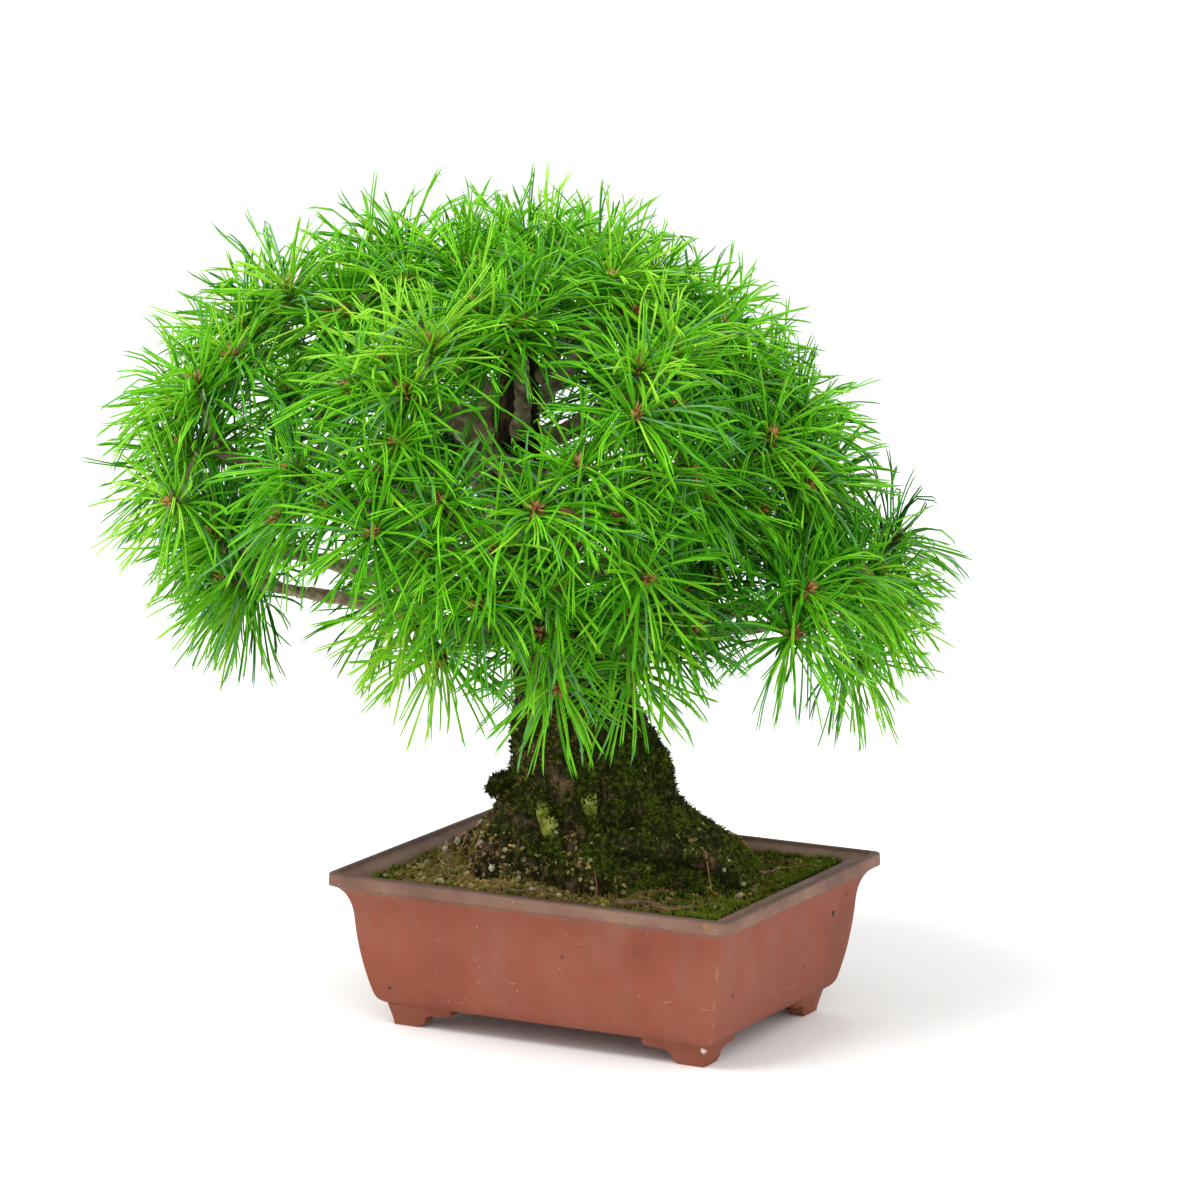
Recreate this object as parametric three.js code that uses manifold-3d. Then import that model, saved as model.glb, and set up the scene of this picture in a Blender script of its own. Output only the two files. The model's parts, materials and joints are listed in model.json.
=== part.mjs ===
// A japanese white pine bonsai in its rectangular unglazed clay pot, in millimetres with +Z up.
// The long side of the pot runs along X and its front faces -Y. The origin is on the ground,
// under the middle of the whole plant's box.
import * as THREE from 'three';
import { mergeVertices } from 'three/addons/utils/BufferGeometryUtils.js';
import Module from 'manifold-3d';

const wasm = await Module();
wasm.setup();

// Driving dimensions
const clearance = 0.3;

const pot = {
  length: 268,
  width: 208,
  height: 96,
  cornerRadius: 5,
  cornerSteps: 2,
  footHeight: 13.5,
  footLong: 43,
  footShort: 36,
  footFlat: 18,
  footThick: 12,
  footInset: 29,
  rimBand: 8,
  rimWidth: 17.5,
  rimDrop: 7,
  floorThick: 10,
  // Insets of the wall from the rim's edge, from the ground up
  soleInset: 29,
  wallFootInset: 19.5,
  wallMiddleInset: 13.6,
  wallTopInset: 11.8,
};

const groundLevel = 90;

// Stations up the trunk: its lean from the middle of the pot, and its radius
const trunk = {
  sides: 18,
  stations: [
    { height: groundLevel, x: -4, y: -1, radius: 84 },
    { height: 100, x: -5, y: -1, radius: 74 },
    { height: 114, x: -6, y: -1, radius: 62 },
    { height: 134, x: -7, y: -2, radius: 54 },
    { height: 159, x: -10, y: -2, radius: 45 },
    { height: 200, x: -19, y: -4, radius: 34 },
    { height: 256, x: -36, y: -7, radius: 25 },
    { height: 316, x: -52, y: -10, radius: 17 },
    { height: 352, x: -56, y: -11, radius: 14 },
    { height: 400, x: -53, y: -11, radius: 10 },
    { height: 424, x: -48, y: -10, radius: 7 },
  ],
  buttresses: 7,
  buttressDepth: 0.1,
  flatten: 0.16,
};

// Old roots that stand out of the flare: where each leaves the trunk and where it dives in again
const roots = [
  { from: [-14, -36, 148], over: [-9, -50, 141], to: [5, -57, 112], radius: 6.5 },
  { from: [10, -30, 154], over: [14, -44, 148], to: [20, -50, 126], radius: 5 },
  { from: [-28, -25, 138], over: [-46, -41, 149], to: [-50, -42, 136], radius: 6.5 },
  { from: [30, -20, 130], over: [52, -35, 119], to: [84, -12, 93], radius: 7 },
];

// The middle of the crown that the headings and reaches below are measured from
const heart = new THREE.Vector3(-50, -11, 300);

// Boughs thicken towards the trunk by a share of their length and end short of their mass's middle
const bough = {
  sides: 5,
  steps: 4,
  tipRadius: 3.4,
  thickening: 0.022,
  shortOfMass: 42,
  kink: 9,
};

// A spray's needles lean along its shoot and droop a little
const spray = {
  needleLength: 58,
  leastShare: 0.86,
  shortest: 26,
  halfThick: 4.2,
  coreRadius: 7,
  stalkRadius: 2.2,
  lean: 0.34,
  droop: 0.1,
};

// How the sprays of a mass are set out
const layout = {
  goldenAngle: 2.4,
  angleJitter: 0.9,
  tries: 12,
  leastSpread: 0.85,
  spreadJitter: 0.3,
  pullPerTry: 0.04,
  depth: 0.5,
  leastApart: 18,
  firstTwig: 0.2,
  lastTwig: 0.8,
};

// Masses of needles: heading in degrees about the heart (0 along +X, 90 away from the front),
// reach from it, height, number of sprays, and how wide the sprays spread. A mass with a bough
// is carried on a limb of its own; the others stand on the tip of the trunk.
const masses = [
  { name: 'top', heading: -135, reach: 14, height: 458, sprays: 6, spread: 42 },
  { name: 'top_left', heading: -149, reach: 88, height: 446, sprays: 6, spread: 38, bough: 372 },
  { name: 'top_right', heading: 15, reach: 64, height: 444, sprays: 6, spread: 38, bough: 384 },
  { name: 'top_front', heading: -60, reach: 99, height: 432, sprays: 5, spread: 34, bough: 350 },
  { name: 'upper_front_left', heading: -88, reach: 148, height: 398, sprays: 5, spread: 36, bough: 330 },
  { name: 'upper_front_right', heading: -25, reach: 150, height: 388, sprays: 5, spread: 36, bough: 322 },
  { name: 'upper_right', heading: 22, reach: 128, height: 406, sprays: 5, spread: 36, bough: 342 },
  { name: 'upper_back_right', heading: 92, reach: 118, height: 412, sprays: 6, spread: 44, bough: 352 },
  { name: 'upper_back_left', heading: 150, reach: 126, height: 402, sprays: 5, spread: 44, bough: 338 },
  { name: 'upper_left', heading: -150, reach: 164, height: 420, sprays: 6, spread: 38, bough: 346 },
  { name: 'middle_front', heading: -67, reach: 168, height: 314, sprays: 5, spread: 36, bough: 258 },
  { name: 'middle_front_right', heading: -43, reach: 172, height: 330, sprays: 5, spread: 34, bough: 282 },
  { name: 'middle_front_left', heading: -99, reach: 178, height: 338, sprays: 6, spread: 38, bough: 272 },
  { name: 'middle_far_left', heading: -140, reach: 202, height: 352, sprays: 6, spread: 40, bough: 296 },
  { name: 'middle_left', heading: 173, reach: 186, height: 334, sprays: 5, spread: 44, bough: 286 },
  { name: 'middle_back_left', heading: 133, reach: 184, height: 326, sprays: 6, spread: 44, bough: 300 },
  { name: 'middle_back', heading: 92, reach: 178, height: 330, sprays: 5, spread: 44, bough: 276 },
  { name: 'middle_back_right', heading: 58, reach: 184, height: 322, sprays: 6, spread: 44, bough: 292 },
  { name: 'middle_right', heading: 14, reach: 172, height: 350, sprays: 6, spread: 38, bough: 308 },
  { name: 'middle_inner_right', heading: -8, reach: 150, height: 312, sprays: 4, spread: 30, bough: 262 },
  { name: 'lower_front', heading: -57, reach: 139, height: 260, sprays: 4, spread: 30, bough: 212 },
  { name: 'lower_front_right', heading: -26, reach: 138, height: 256, sprays: 4, spread: 30, bough: 200 },
  { name: 'lower_front_left', heading: -90, reach: 136, height: 264, sprays: 4, spread: 30, bough: 222 },
  { name: 'lower_left', heading: -136, reach: 180, height: 274, sprays: 5, spread: 34, bough: 234 },
  { name: 'lower_far_left', heading: -160, reach: 178, height: 284, sprays: 5, spread: 34, bough: 250 },
  { name: 'lower_back_left', heading: 150, reach: 160, height: 262, sprays: 5, spread: 34, bough: 228 },
  { name: 'lower_back', heading: 93, reach: 156, height: 258, sprays: 5, spread: 34, bough: 216 },
  { name: 'lower_far_right', heading: 32, reach: 214, height: 256, sprays: 6, spread: 40, bough: 236 },
  { name: 'lower_right', heading: 1, reach: 196, height: 258, sprays: 5, spread: 36, bough: 224 },
];

const looks = {
  clay: { color: 0x9f5644, roughness: 0.85, metalness: 0 },
  soil: { color: 0x3f4a1c, roughness: 1, metalness: 0 },
  bark: { color: 0x5d4d3c, roughness: 0.95, metalness: 0 },
  twig: { color: 0x84705a, roughness: 0.9, metalness: 0 },
  needle: { color: 0x5bab22, roughness: 0.55, metalness: 0 },
};

// A closed solid from a geometry whose shared corners are merged
function solid(geometry) {
  const bare = new THREE.BufferGeometry();
  bare.setAttribute('position', geometry.attributes.position.clone());
  bare.setIndex(geometry.index);
  const merged = mergeVertices(bare, 1e-4);
  const triVerts = [];
  for (let i = 0; i < merged.index.count; i += 3) {
    const [a, b, c] = [0, 1, 2].map((k) => merged.index.getX(i + k));
    if (a !== b && b !== c && c !== a) triVerts.push(a, b, c);
  }
  return new wasm.Manifold(new wasm.Mesh({
    numProp: 3,
    vertProperties: new Float32Array(merged.attributes.position.array),
    triVerts: new Uint32Array(triVerts),
  }));
}

// The largest body of a solid, so that a loose scrap is dropped
function mainBody(body) {
  const bodies = body.decompose();
  return bodies.reduce((best, one) => (one.volume() > best.volume() ? one : best));
}

function meshOf(name, body, look) {
  const { vertProperties, triVerts } = body.getMesh();
  const geometry = new THREE.BufferGeometry();
  geometry.setAttribute('position', new THREE.BufferAttribute(new Float32Array(vertProperties), 3));
  geometry.setIndex(new THREE.BufferAttribute(new Uint32Array(triVerts), 1));
  geometry.computeVertexNormals();
  const mesh = new THREE.Mesh(geometry, new THREE.MeshStandardMaterial({ ...look, flatShading: true }));
  mesh.name = name;
  return mesh;
}

// The same seeded draws between 0 and 1 on every run
function draws(seed) {
  let state = seed >>> 0;
  return () => {
    state = (Math.imul(state, 1664525) + 1013904223) >>> 0;
    return state / 4294967296;
  };
}

// A closed form turned from a profile of (half length, height), with a rounded rectangle as its plan
function rectangularTurning(profile, halfLengthLessHalfWidth) {
  const segments = 4 * (pot.cornerSteps + 1);
  const geometry = new THREE.LatheGeometry(profile, segments);
  const places = geometry.attributes.position;
  for (let i = 0; i < places.count; i += 1) {
    const ring = Math.floor(i / profile.length) % segments;
    const { x: halfLength, y: height } = profile[i % profile.length];
    const corner = Math.floor(ring / (pot.cornerSteps + 1));
    const step = ring % (pot.cornerSteps + 1);
    const angle = (corner + step / pot.cornerSteps) * (Math.PI / 2);
    const radius = Math.min(pot.cornerRadius, halfLength);
    const halfWidth = Math.max(0, halfLength - halfLengthLessHalfWidth);
    const signX = corner === 0 || corner === 3 ? 1 : -1;
    const signY = corner < 2 ? 1 : -1;
    const x = signX * (halfLength - radius) + radius * Math.cos(angle);
    const y = signY * Math.max(0, halfWidth - radius) + Math.min(radius, halfWidth) * Math.sin(angle);
    places.setXYZ(i, halfLength > 0 ? x : 0, halfLength > 0 ? y : 0, height);
  }
  return solid(geometry);
}

// The outside of the vessel from the middle of its underside, over the rim and down to its floor
function vesselProfile() {
  const edge = pot.length / 2;
  const path = new THREE.Path();
  path.moveTo(0, pot.footHeight);
  path.lineTo(edge - pot.soleInset, pot.footHeight);
  path.quadraticCurveTo(edge - 21.5, pot.footHeight, edge - pot.wallFootInset, pot.footHeight + 7);
  const wallTop = edge - pot.wallTopInset;
  path.quadraticCurveTo(edge - pot.wallMiddleInset, pot.height * 0.44, wallTop, pot.height * 0.68);
  path.quadraticCurveTo(wallTop + 1.3, pot.height * 0.875, edge, pot.height - pot.rimBand);
  path.lineTo(edge, pot.height - 1);
  path.lineTo(edge - 1, pot.height);
  path.lineTo(edge - 4.5, pot.height);
  path.lineTo(edge - 5.5, pot.height - 1.4);
  path.lineTo(edge - pot.rimWidth, pot.height - pot.rimDrop);
  path.lineTo(edge - pot.rimWidth - 2, pot.height - pot.rimDrop - 7);
  path.lineTo(edge - pot.footInset - 4, pot.footHeight + pot.floorThick);
  path.lineTo(0, pot.footHeight + pot.floorThick);
  return path.getPoints(3);
}

// A bracket foot seen from its side: a flat sole, an ogee rise and a thin wing
function bracket(length) {
  const shape = new THREE.Shape();
  const wing = pot.footHeight - 4.5;
  shape.moveTo(0, 0);
  shape.lineTo(pot.footFlat, 0);
  shape.bezierCurveTo(pot.footFlat + 7, 1, pot.footFlat + 3, wing - 2, pot.footFlat + 11, wing - 1);
  shape.lineTo(length, wing + 1);
  shape.lineTo(length + 2, pot.footHeight + 2);
  shape.lineTo(0, pot.footHeight + 2);
  return new THREE.ExtrudeGeometry(shape, { depth: pot.footThick, bevelEnabled: false, curveSegments: 4 });
}

function makePot() {
  let body = rectangularTurning(vesselProfile(), (pot.length - pot.width) / 2);
  const outX = pot.length / 2 - pot.footInset;
  const outY = pot.width / 2 - pot.footInset;
  const along = bracket(pot.footLong).rotateX(Math.PI / 2).rotateZ(Math.PI);
  const across = bracket(pot.footShort).rotateX(Math.PI / 2).rotateZ(-Math.PI / 2);
  along.translate(outX, outY - pot.footThick, 0);
  across.translate(outX, outY, 0);
  const foot = solid(along).add(solid(across));
  const pair = foot.add(foot.mirror([1, 0, 0]));
  return body.add(pair).add(pair.mirror([0, 1, 0]));
}

function makeSoil() {
  const edge = pot.length / 2 - clearance * 1.5;
  const path = new THREE.Path();
  path.moveTo(0, pot.footHeight + pot.floorThick + clearance);
  path.lineTo(edge - pot.footInset - 4.5, pot.footHeight + pot.floorThick + clearance);
  path.lineTo(edge - pot.rimWidth - 2, pot.height - pot.rimDrop - 7);
  path.lineTo(edge - pot.rimWidth, pot.height - pot.rimDrop - 1);
  path.lineTo(edge - pot.rimWidth - 8, groundLevel - clearance);
  path.lineTo(0, groundLevel - clearance);
  return rectangularTurning(path.getPoints(), (pot.length - pot.width) / 2);
}

// The trunk is turned on its height, then each ring is moved onto the leaning line. Towards
// the ground it grows buttresses and spreads along the pot.
function makeTrunk(extra = 0) {
  const { stations, sides } = trunk;
  const last = stations.length - 1;
  const profile = [new THREE.Vector2(0, stations[0].height)];
  stations.forEach((station) => profile.push(new THREE.Vector2(station.radius, station.height)));
  profile.push(new THREE.Vector2(0, stations[last].height + extra));
  const geometry = new THREE.LatheGeometry(profile, sides);
  const places = geometry.attributes.position;
  for (let i = 0; i < places.count; i += 1) {
    const ring = i % profile.length;
    const turn = (Math.floor(i / profile.length) % sides) * ((2 * Math.PI) / sides);
    const station = stations[Math.min(Math.max(ring - 1, 0), last)];
    const atEnd = ring === 0 || ring === profile.length - 1;
    const flare = station.radius / stations[0].radius;
    const rib = 1 + trunk.buttressDepth * flare * Math.cos(trunk.buttresses * turn + station.height / 40);
    const radius = atEnd ? 0 : station.radius * rib + extra;
    const x = station.x + radius * (1 + trunk.flatten * flare ** 2) * Math.cos(turn);
    const y = station.y + radius * (1 - trunk.flatten * flare ** 2) * Math.sin(turn);
    places.setXYZ(i, x, y, profile[ring].y + (ring === profile.length - 2 ? extra : 0));
  }
  return solid(geometry);
}

function withRoots(body) {
  const turned = roots.map(({ from, over, to, radius }) => {
    const line = new THREE.CatmullRomCurve3([from, over, to].map((place) => new THREE.Vector3(...place)));
    return solid(taperedLimb(line, radius, radius * 0.8, 5, 3));
  });
  return wasm.Manifold.union([body, ...turned]);
}

// A cylinder bent along its line and tapering to its tip
function taperedLimb(line, rootRadius, tipRadius, sides, steps) {
  const geometry = new THREE.CylinderGeometry(tipRadius, rootRadius, 1, sides, steps);
  const { normals, binormals } = line.computeFrenetFrames(steps, false);
  const places = geometry.attributes.position;
  for (let i = 0; i < places.count; i += 1) {
    const step = Math.round((places.getY(i) + 0.5) * steps);
    const place = line.getPointAt(step / steps);
    place.addScaledVector(binormals[step], places.getX(i));
    place.addScaledVector(normals[step], places.getZ(i));
    places.setXYZ(i, place.x, place.y, place.z);
  }
  return geometry;
}

// Where the middle of the trunk is at a height, and how thick it is there
function trunkAt(height) {
  const { stations } = trunk;
  const found = stations.findIndex((station) => station.height >= height);
  const upper = found < 0 ? stations.length - 1 : Math.max(found, 1);
  const below = stations[upper - 1];
  const above = stations[upper];
  const share = Math.min((height - below.height) / (above.height - below.height), 1);
  const mix = (key) => below[key] + (above[key] - below[key]) * share;
  return { place: new THREE.Vector3(mix('x'), mix('y'), height), radius: mix('radius') };
}

// Each mass gets its middle, the line of its bough, and its stem, which goes on from the bough's
// tip in the same direction, a clearance away from it
function layOut(mass, index) {
  const draw = draws(1000 + index);
  const heading = THREE.MathUtils.degToRad(mass.heading);
  const centre = new THREE.Vector3(Math.cos(heading), Math.sin(heading), 0).multiplyScalar(mass.reach);
  centre.add(new THREE.Vector3(heart.x, heart.y, mass.height));
  if (!mass.bough) {
    const top = trunk.stations.at(-1);
    const start = new THREE.Vector3(top.x, top.y, top.height - 4);
    return { ...mass, draw, centre, stem: new THREE.LineCurve3(start, centre) };
  }
  const root = trunkAt(mass.bough).place;
  const along = centre.clone().sub(root);
  const tip = centre.clone().addScaledVector(along.clone().normalize(), -bough.shortOfMass);
  const across = new THREE.Vector3(-along.y, along.x, 0).normalize();
  const bends = [0.35, 0.7].map((share) => {
    const bend = root.clone().lerp(tip, share);
    bend.addScaledVector(across, (draw() * 2 - 1) * bough.kink);
    bend.z += (draw() * 1.6 - 1) * bough.kink;
    return bend;
  });
  const line = new THREE.CatmullRomCurve3([root, ...bends, tip]);
  const rootRadius = bough.tipRadius + bough.thickening * along.length();
  const forward = line.getTangentAt(1);
  const start = tip.clone().addScaledVector(forward, clearance);
  const turning = start.clone().addScaledVector(forward, bough.shortOfMass * 0.4);
  const stem = new THREE.QuadraticBezierCurve3(start, turning, centre);
  return { ...mass, draw, centre, line, rootRadius, stem };
}

const laidOut = masses.map(layOut);

// Round samples along the trunk and the boughs that needles and twigs have to stay clear of
const hardSamples = [];
for (let height = groundLevel; height < trunk.stations.at(-1).height + 2; height += 6) {
  hardSamples.push(trunkAt(height));
}
for (const { line, rootRadius } of laidOut) {
  if (!line) continue;
  const count = Math.ceil(line.getLength() / 4);
  line.getSpacedPoints(count).forEach((place, i) => {
    const radius = THREE.MathUtils.lerp(rootRadius, bough.tipRadius, i / count);
    hardSamples.push({ place, radius });
  });
}

// How far a point is from the nearest of some round samples
function roomAround(point, samples) {
  return Math.min(Infinity, ...samples.map(({ place, radius }) => place.distanceTo(point) - radius));
}

// How far a point lies inside the space of a mass: no nearer to any other mass than to its own
function roomInSpace(mass, point) {
  let least = Infinity;
  for (const other of laidOut) {
    if (other === mass) continue;
    const away = other.centre.clone().sub(mass.centre);
    const apart = away.length();
    const reached = point.clone().sub(mass.centre).dot(away) / apart;
    least = Math.min(least, apart / 2 - reached);
  }
  return least;
}

// The length that a needle may have before it leaves its space, meets a neighbouring spray or a limb
function clearLength(mass, from, direction, wanted, neighbours, stalkSamples) {
  let length = wanted;
  const stopAt = (planeNormal, distance) => {
    const climb = direction.dot(planeNormal);
    if (climb > 0) length = Math.min(length, distance / climb);
  };
  for (const other of laidOut) {
    if (other === mass) continue;
    const away = other.centre.clone().sub(mass.centre);
    const half = away.length() / 2;
    away.normalize();
    stopAt(away, half - clearance - from.clone().sub(mass.centre).dot(away));
  }
  for (const neighbour of neighbours) {
    const away = neighbour.clone().sub(from);
    stopAt(away.clone().normalize(), away.length() / 2);
  }
  for (let reached = spray.coreRadius; reached <= length; reached += 4) {
    const halfThick = spray.halfThick * (1 - reached / wanted) + clearance;
    const point = from.clone().addScaledVector(direction, reached);
    const nearLimb = roomAround(point, hardSamples) < halfThick + 1;
    const nearTwig = roomAround(point, stalkSamples) < halfThick;
    if (nearLimb || nearTwig) return reached - 6;
  }
  return length;
}

// Sprays of one mass: the first at its middle, where its stem ends, and the others round it at
// the golden angle, each on a twig that leaves the stem a little further along
function placeSprays(mass) {
  const outward = mass.centre.clone().sub(heart).normalize();
  const side = new THREE.Vector3(-outward.y, outward.x, 0).normalize();
  const rise = outward.clone().cross(side);
  const placed = [{ place: mass.centre }];
  for (let i = 1; i < mass.sprays; i += 1) {
    const along = THREE.MathUtils.lerp(layout.firstTwig, layout.lastTwig, (i - 1) / (mass.sprays - 2));
    const parent = mass.stem.getPointAt(along);
    for (let attempt = 0; attempt < layout.tries; attempt += 1) {
      const angle = i * layout.goldenAngle + (mass.draw() - 0.5) * layout.angleJitter;
      const share = layout.leastSpread + layout.spreadJitter * mass.draw() - layout.pullPerTry * attempt;
      const out = mass.spread * share;
      const place = mass.centre.clone();
      place.addScaledVector(side, out * Math.cos(angle));
      place.addScaledVector(rise, out * Math.sin(angle));
      place.addScaledVector(outward, (mass.draw() - 0.6) * layout.depth * mass.spread);
      const halfway = parent.clone().lerp(place, 0.6);
      const apart = Math.min(...placed.map((other) => other.place.distanceTo(place)));
      const clear = Math.min(roomAround(place, hardSamples), roomAround(halfway, hardSamples));
      const inside = roomInSpace(mass, place);
      if (Math.min(inside, clear) > spray.coreRadius + 1 && apart > layout.leastApart) {
        placed.push({ place, parent });
        break;
      }
    }
  }
  return { placed, outward };
}

// Round samples along the twig of a placed spray
function twigSamples({ place, parent }) {
  if (!parent) return [];
  return [0.1, 0.2, 0.3, 0.4, 0.5, 0.6, 0.7, 0.8].map((share) => ({
    place: parent.clone().lerp(place, share),
    radius: THREE.MathUtils.lerp(spray.stalkRadius, spray.coreRadius * 0.6, share),
  }));
}

// A spray: a small core whose faces are drawn out into needles, and one face into its twig
function makeSpray(mass, { place, parent }, others, stalkSamples, outward) {
  const stalk = (parent ?? mass.stem.getPointAt(0.7)).clone().sub(place);
  const stalkLength = stalk.length() + 1.5;
  stalk.normalize();
  const axis = outward.clone().multiplyScalar(0.7).sub(stalk).add(new THREE.Vector3(0, 0, 0.5)).normalize();
  const core = new THREE.IcosahedronGeometry(spray.coreRadius);
  const corner = (i) => new THREE.Vector3().fromBufferAttribute(core.attributes.position, i);
  const faceMiddle = (i) => corner(i).add(corner(i + 1)).add(corner(i + 2)).normalize();
  const turn = new THREE.Quaternion().setFromUnitVectors(faceMiddle(0), stalk);
  turn.premultiply(new THREE.Quaternion().setFromAxisAngle(stalk, mass.draw() * Math.PI));
  core.applyQuaternion(turn);
  const drawn = [];
  for (let i = 0; i < core.attributes.position.count; i += 3) {
    const [a, b, c] = [i, i + 1, i + 2].map((k) => corner(k).add(place));
    if (i === 0 && parent) {
      const far = place.clone().addScaledVector(stalk, stalkLength);
      const end = [0, 1, 2].map((k) => {
        const spoke = corner(k).addScaledVector(stalk, -corner(k).dot(stalk));
        return far.clone().addScaledVector(spoke.normalize(), spray.stalkRadius);
      });
      [[a, b, 0, 1], [b, c, 1, 2], [c, a, 2, 0]].forEach(([p, q, m, n]) => {
        drawn.push(p, q, end[n], p, end[n], end[m]);
      });
      drawn.push(...end);
      continue;
    }
    const direction = faceMiddle(i).addScaledVector(axis, spray.lean);
    direction.z -= spray.droop;
    direction.normalize();
    const wanted = spray.needleLength * THREE.MathUtils.lerp(spray.leastShare, 1, mass.draw());
    const length = i === 0 ? 0 : clearLength(mass, place, direction, wanted, others, stalkSamples);
    if (length < spray.shortest) {
      drawn.push(a, b, c);
      continue;
    }
    const tip = place.clone().addScaledVector(direction, length);
    drawn.push(a, b, tip, b, c, tip, c, a, tip);
  }
  return solid(new THREE.BufferGeometry().setFromPoints(drawn));
}

// One mass of needles: its stem and the sprays round it, joined into one body
function makeMass(mass, inflatedTrunk) {
  const { placed, outward } = placeSprays(mass);
  const steps = mass.line ? 2 : 1;
  let stem = solid(taperedLimb(mass.stem, bough.tipRadius, spray.stalkRadius, bough.sides, steps));
  if (!mass.line) stem = stem.subtract(inflatedTrunk);
  const sprays = placed.map((one) => {
    const others = placed.filter((other) => other !== one);
    const stalkSamples = others.flatMap(twigSamples);
    return makeSpray(mass, one, others.map((other) => other.place), stalkSamples, outward);
  });
  return mainBody(wasm.Manifold.union([stem, ...sprays]));
}

// A bough is cut clear of the trunk that it springs from and of any bough made before it
function makeBoughs(inflatedTrunk) {
  const made = [];
  for (const { name, line, rootRadius } of laidOut) {
    if (!line) continue;
    const limb = (extra) => {
      const [rootEnd, tipEnd] = [rootRadius + extra, bough.tipRadius + extra];
      return solid(taperedLimb(line, rootEnd, tipEnd, bough.sides, bough.steps));
    };
    let body = limb(0).subtract(inflatedTrunk);
    for (const earlier of made) body = body.subtract(earlier.inflated);
    made.push({ name, body: mainBody(body), inflated: limb(clearance * 1.3) });
  }
  return made;
}

const bonsai = new THREE.Group();
const trunkBody = withRoots(makeTrunk()).trimByPlane([0, 0, 1], groundLevel);
const inflatedTrunk = makeTrunk(clearance * 1.4);

bonsai.add(meshOf('pot', makePot(), looks.clay));
bonsai.add(meshOf('soil', makeSoil(), looks.soil));
bonsai.add(meshOf('trunk', trunkBody, looks.bark));
makeBoughs(inflatedTrunk).forEach(({ name, body }) => {
  bonsai.add(meshOf(`bough_${name}`, body, looks.twig));
});
laidOut.forEach((mass) => {
  bonsai.add(meshOf(`needles_${mass.name}`, makeMass(mass, inflatedTrunk), looks.needle));
});

// The origin goes under the middle of the whole plant
const box = new THREE.Box3().setFromObject(bonsai);
const middle = box.getCenter(new THREE.Vector3());
bonsai.position.set(-Math.round(middle.x), -Math.round(middle.y), 0);
bonsai.updateMatrixWorld(true);

export default bonsai;
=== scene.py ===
import json
import math

import bmesh
import bpy
import numpy as np
from mathutils import Matrix, Vector, noise
from mathutils.bvhtree import BVHTree

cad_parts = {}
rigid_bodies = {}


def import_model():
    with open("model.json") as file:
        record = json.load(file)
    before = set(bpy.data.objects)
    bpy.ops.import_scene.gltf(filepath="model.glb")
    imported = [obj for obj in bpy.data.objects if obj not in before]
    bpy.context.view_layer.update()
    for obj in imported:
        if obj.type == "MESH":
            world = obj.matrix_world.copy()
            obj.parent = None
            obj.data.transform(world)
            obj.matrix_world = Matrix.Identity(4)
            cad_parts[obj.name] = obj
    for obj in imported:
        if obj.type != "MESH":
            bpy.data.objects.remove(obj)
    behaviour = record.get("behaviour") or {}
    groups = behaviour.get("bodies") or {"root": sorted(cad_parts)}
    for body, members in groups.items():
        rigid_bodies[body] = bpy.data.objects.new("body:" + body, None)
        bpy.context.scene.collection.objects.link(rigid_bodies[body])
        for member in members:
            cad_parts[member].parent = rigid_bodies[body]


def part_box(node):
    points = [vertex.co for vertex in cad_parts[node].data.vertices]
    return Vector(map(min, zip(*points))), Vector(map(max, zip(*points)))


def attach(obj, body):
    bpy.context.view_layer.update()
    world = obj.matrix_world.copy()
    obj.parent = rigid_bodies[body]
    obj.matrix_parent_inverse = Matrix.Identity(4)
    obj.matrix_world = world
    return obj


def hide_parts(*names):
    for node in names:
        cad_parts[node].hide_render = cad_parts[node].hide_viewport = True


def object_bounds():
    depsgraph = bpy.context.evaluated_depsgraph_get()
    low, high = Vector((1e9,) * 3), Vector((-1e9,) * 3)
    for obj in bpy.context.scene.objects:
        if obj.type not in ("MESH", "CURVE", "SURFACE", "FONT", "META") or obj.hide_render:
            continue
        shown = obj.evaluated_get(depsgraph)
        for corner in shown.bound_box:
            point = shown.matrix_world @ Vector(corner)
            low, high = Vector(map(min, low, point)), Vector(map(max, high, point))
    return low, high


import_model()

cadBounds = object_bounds()

# Everything is modelled in millimetres round the middle of the pot and then put into the frame
mm = 0.001
potLow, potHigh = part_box("pot")
potMiddle = Vector(((potLow.x + potHigh.x) / 2, (potLow.y + potHigh.y) / 2, 0))
potSize = (potHigh - potLow) / mm
toFrame = Matrix.Translation(potMiddle) @ Matrix.Scale(mm, 4)
luck = np.random.default_rng(19)
noise.seed_set(19)      # without a seed the vector noise differs from run to run
goldenTurn = 2.4        # from one spray or bundle to the next
anyTurn = 6.28          # the span of a turn that is left to luck


def clamped(value, low=0, high=1):
    return min(max(value, low), high)


# Lumps on a surface, from how deep and how wide they are
def relief(spot, pattern):
    depth, width = pattern
    return noise.noise(spot / width) * depth


# Camera, floor and light

cameraView = {
    "azimuth": 28.34,
    "elevation": 10.5,
    "distance": 3268.8,
    "targetHeight": 255.7,
    "targetRight": -4.0,
    "lens": 165,
    "sensor": 36,
    "sightLimit": 60,
}


def makeCamera():
    azimuth, elevation = math.radians(cameraView["azimuth"]), math.radians(cameraView["elevation"])
    right = Vector((math.cos(azimuth), math.sin(azimuth), 0))
    back = Vector((math.sin(azimuth), -math.cos(azimuth), 0)) * math.cos(elevation)
    back.z = math.sin(elevation)
    target = right * cameraView["targetRight"] + Vector((0, 0, cameraView["targetHeight"]))
    lens = bpy.data.cameras.new("camera")
    lens.lens = cameraView["lens"]
    lens.sensor_width = cameraView["sensor"]
    lens.clip_end = cameraView["sightLimit"]
    camera = bpy.data.objects.new("camera", lens)
    camera.location = toFrame @ (target + back * cameraView["distance"])
    camera.rotation_euler = back.to_track_quat("Z", "Y").to_euler()
    bpy.context.scene.collection.objects.link(camera)
    bpy.context.scene.camera = camera


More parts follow.
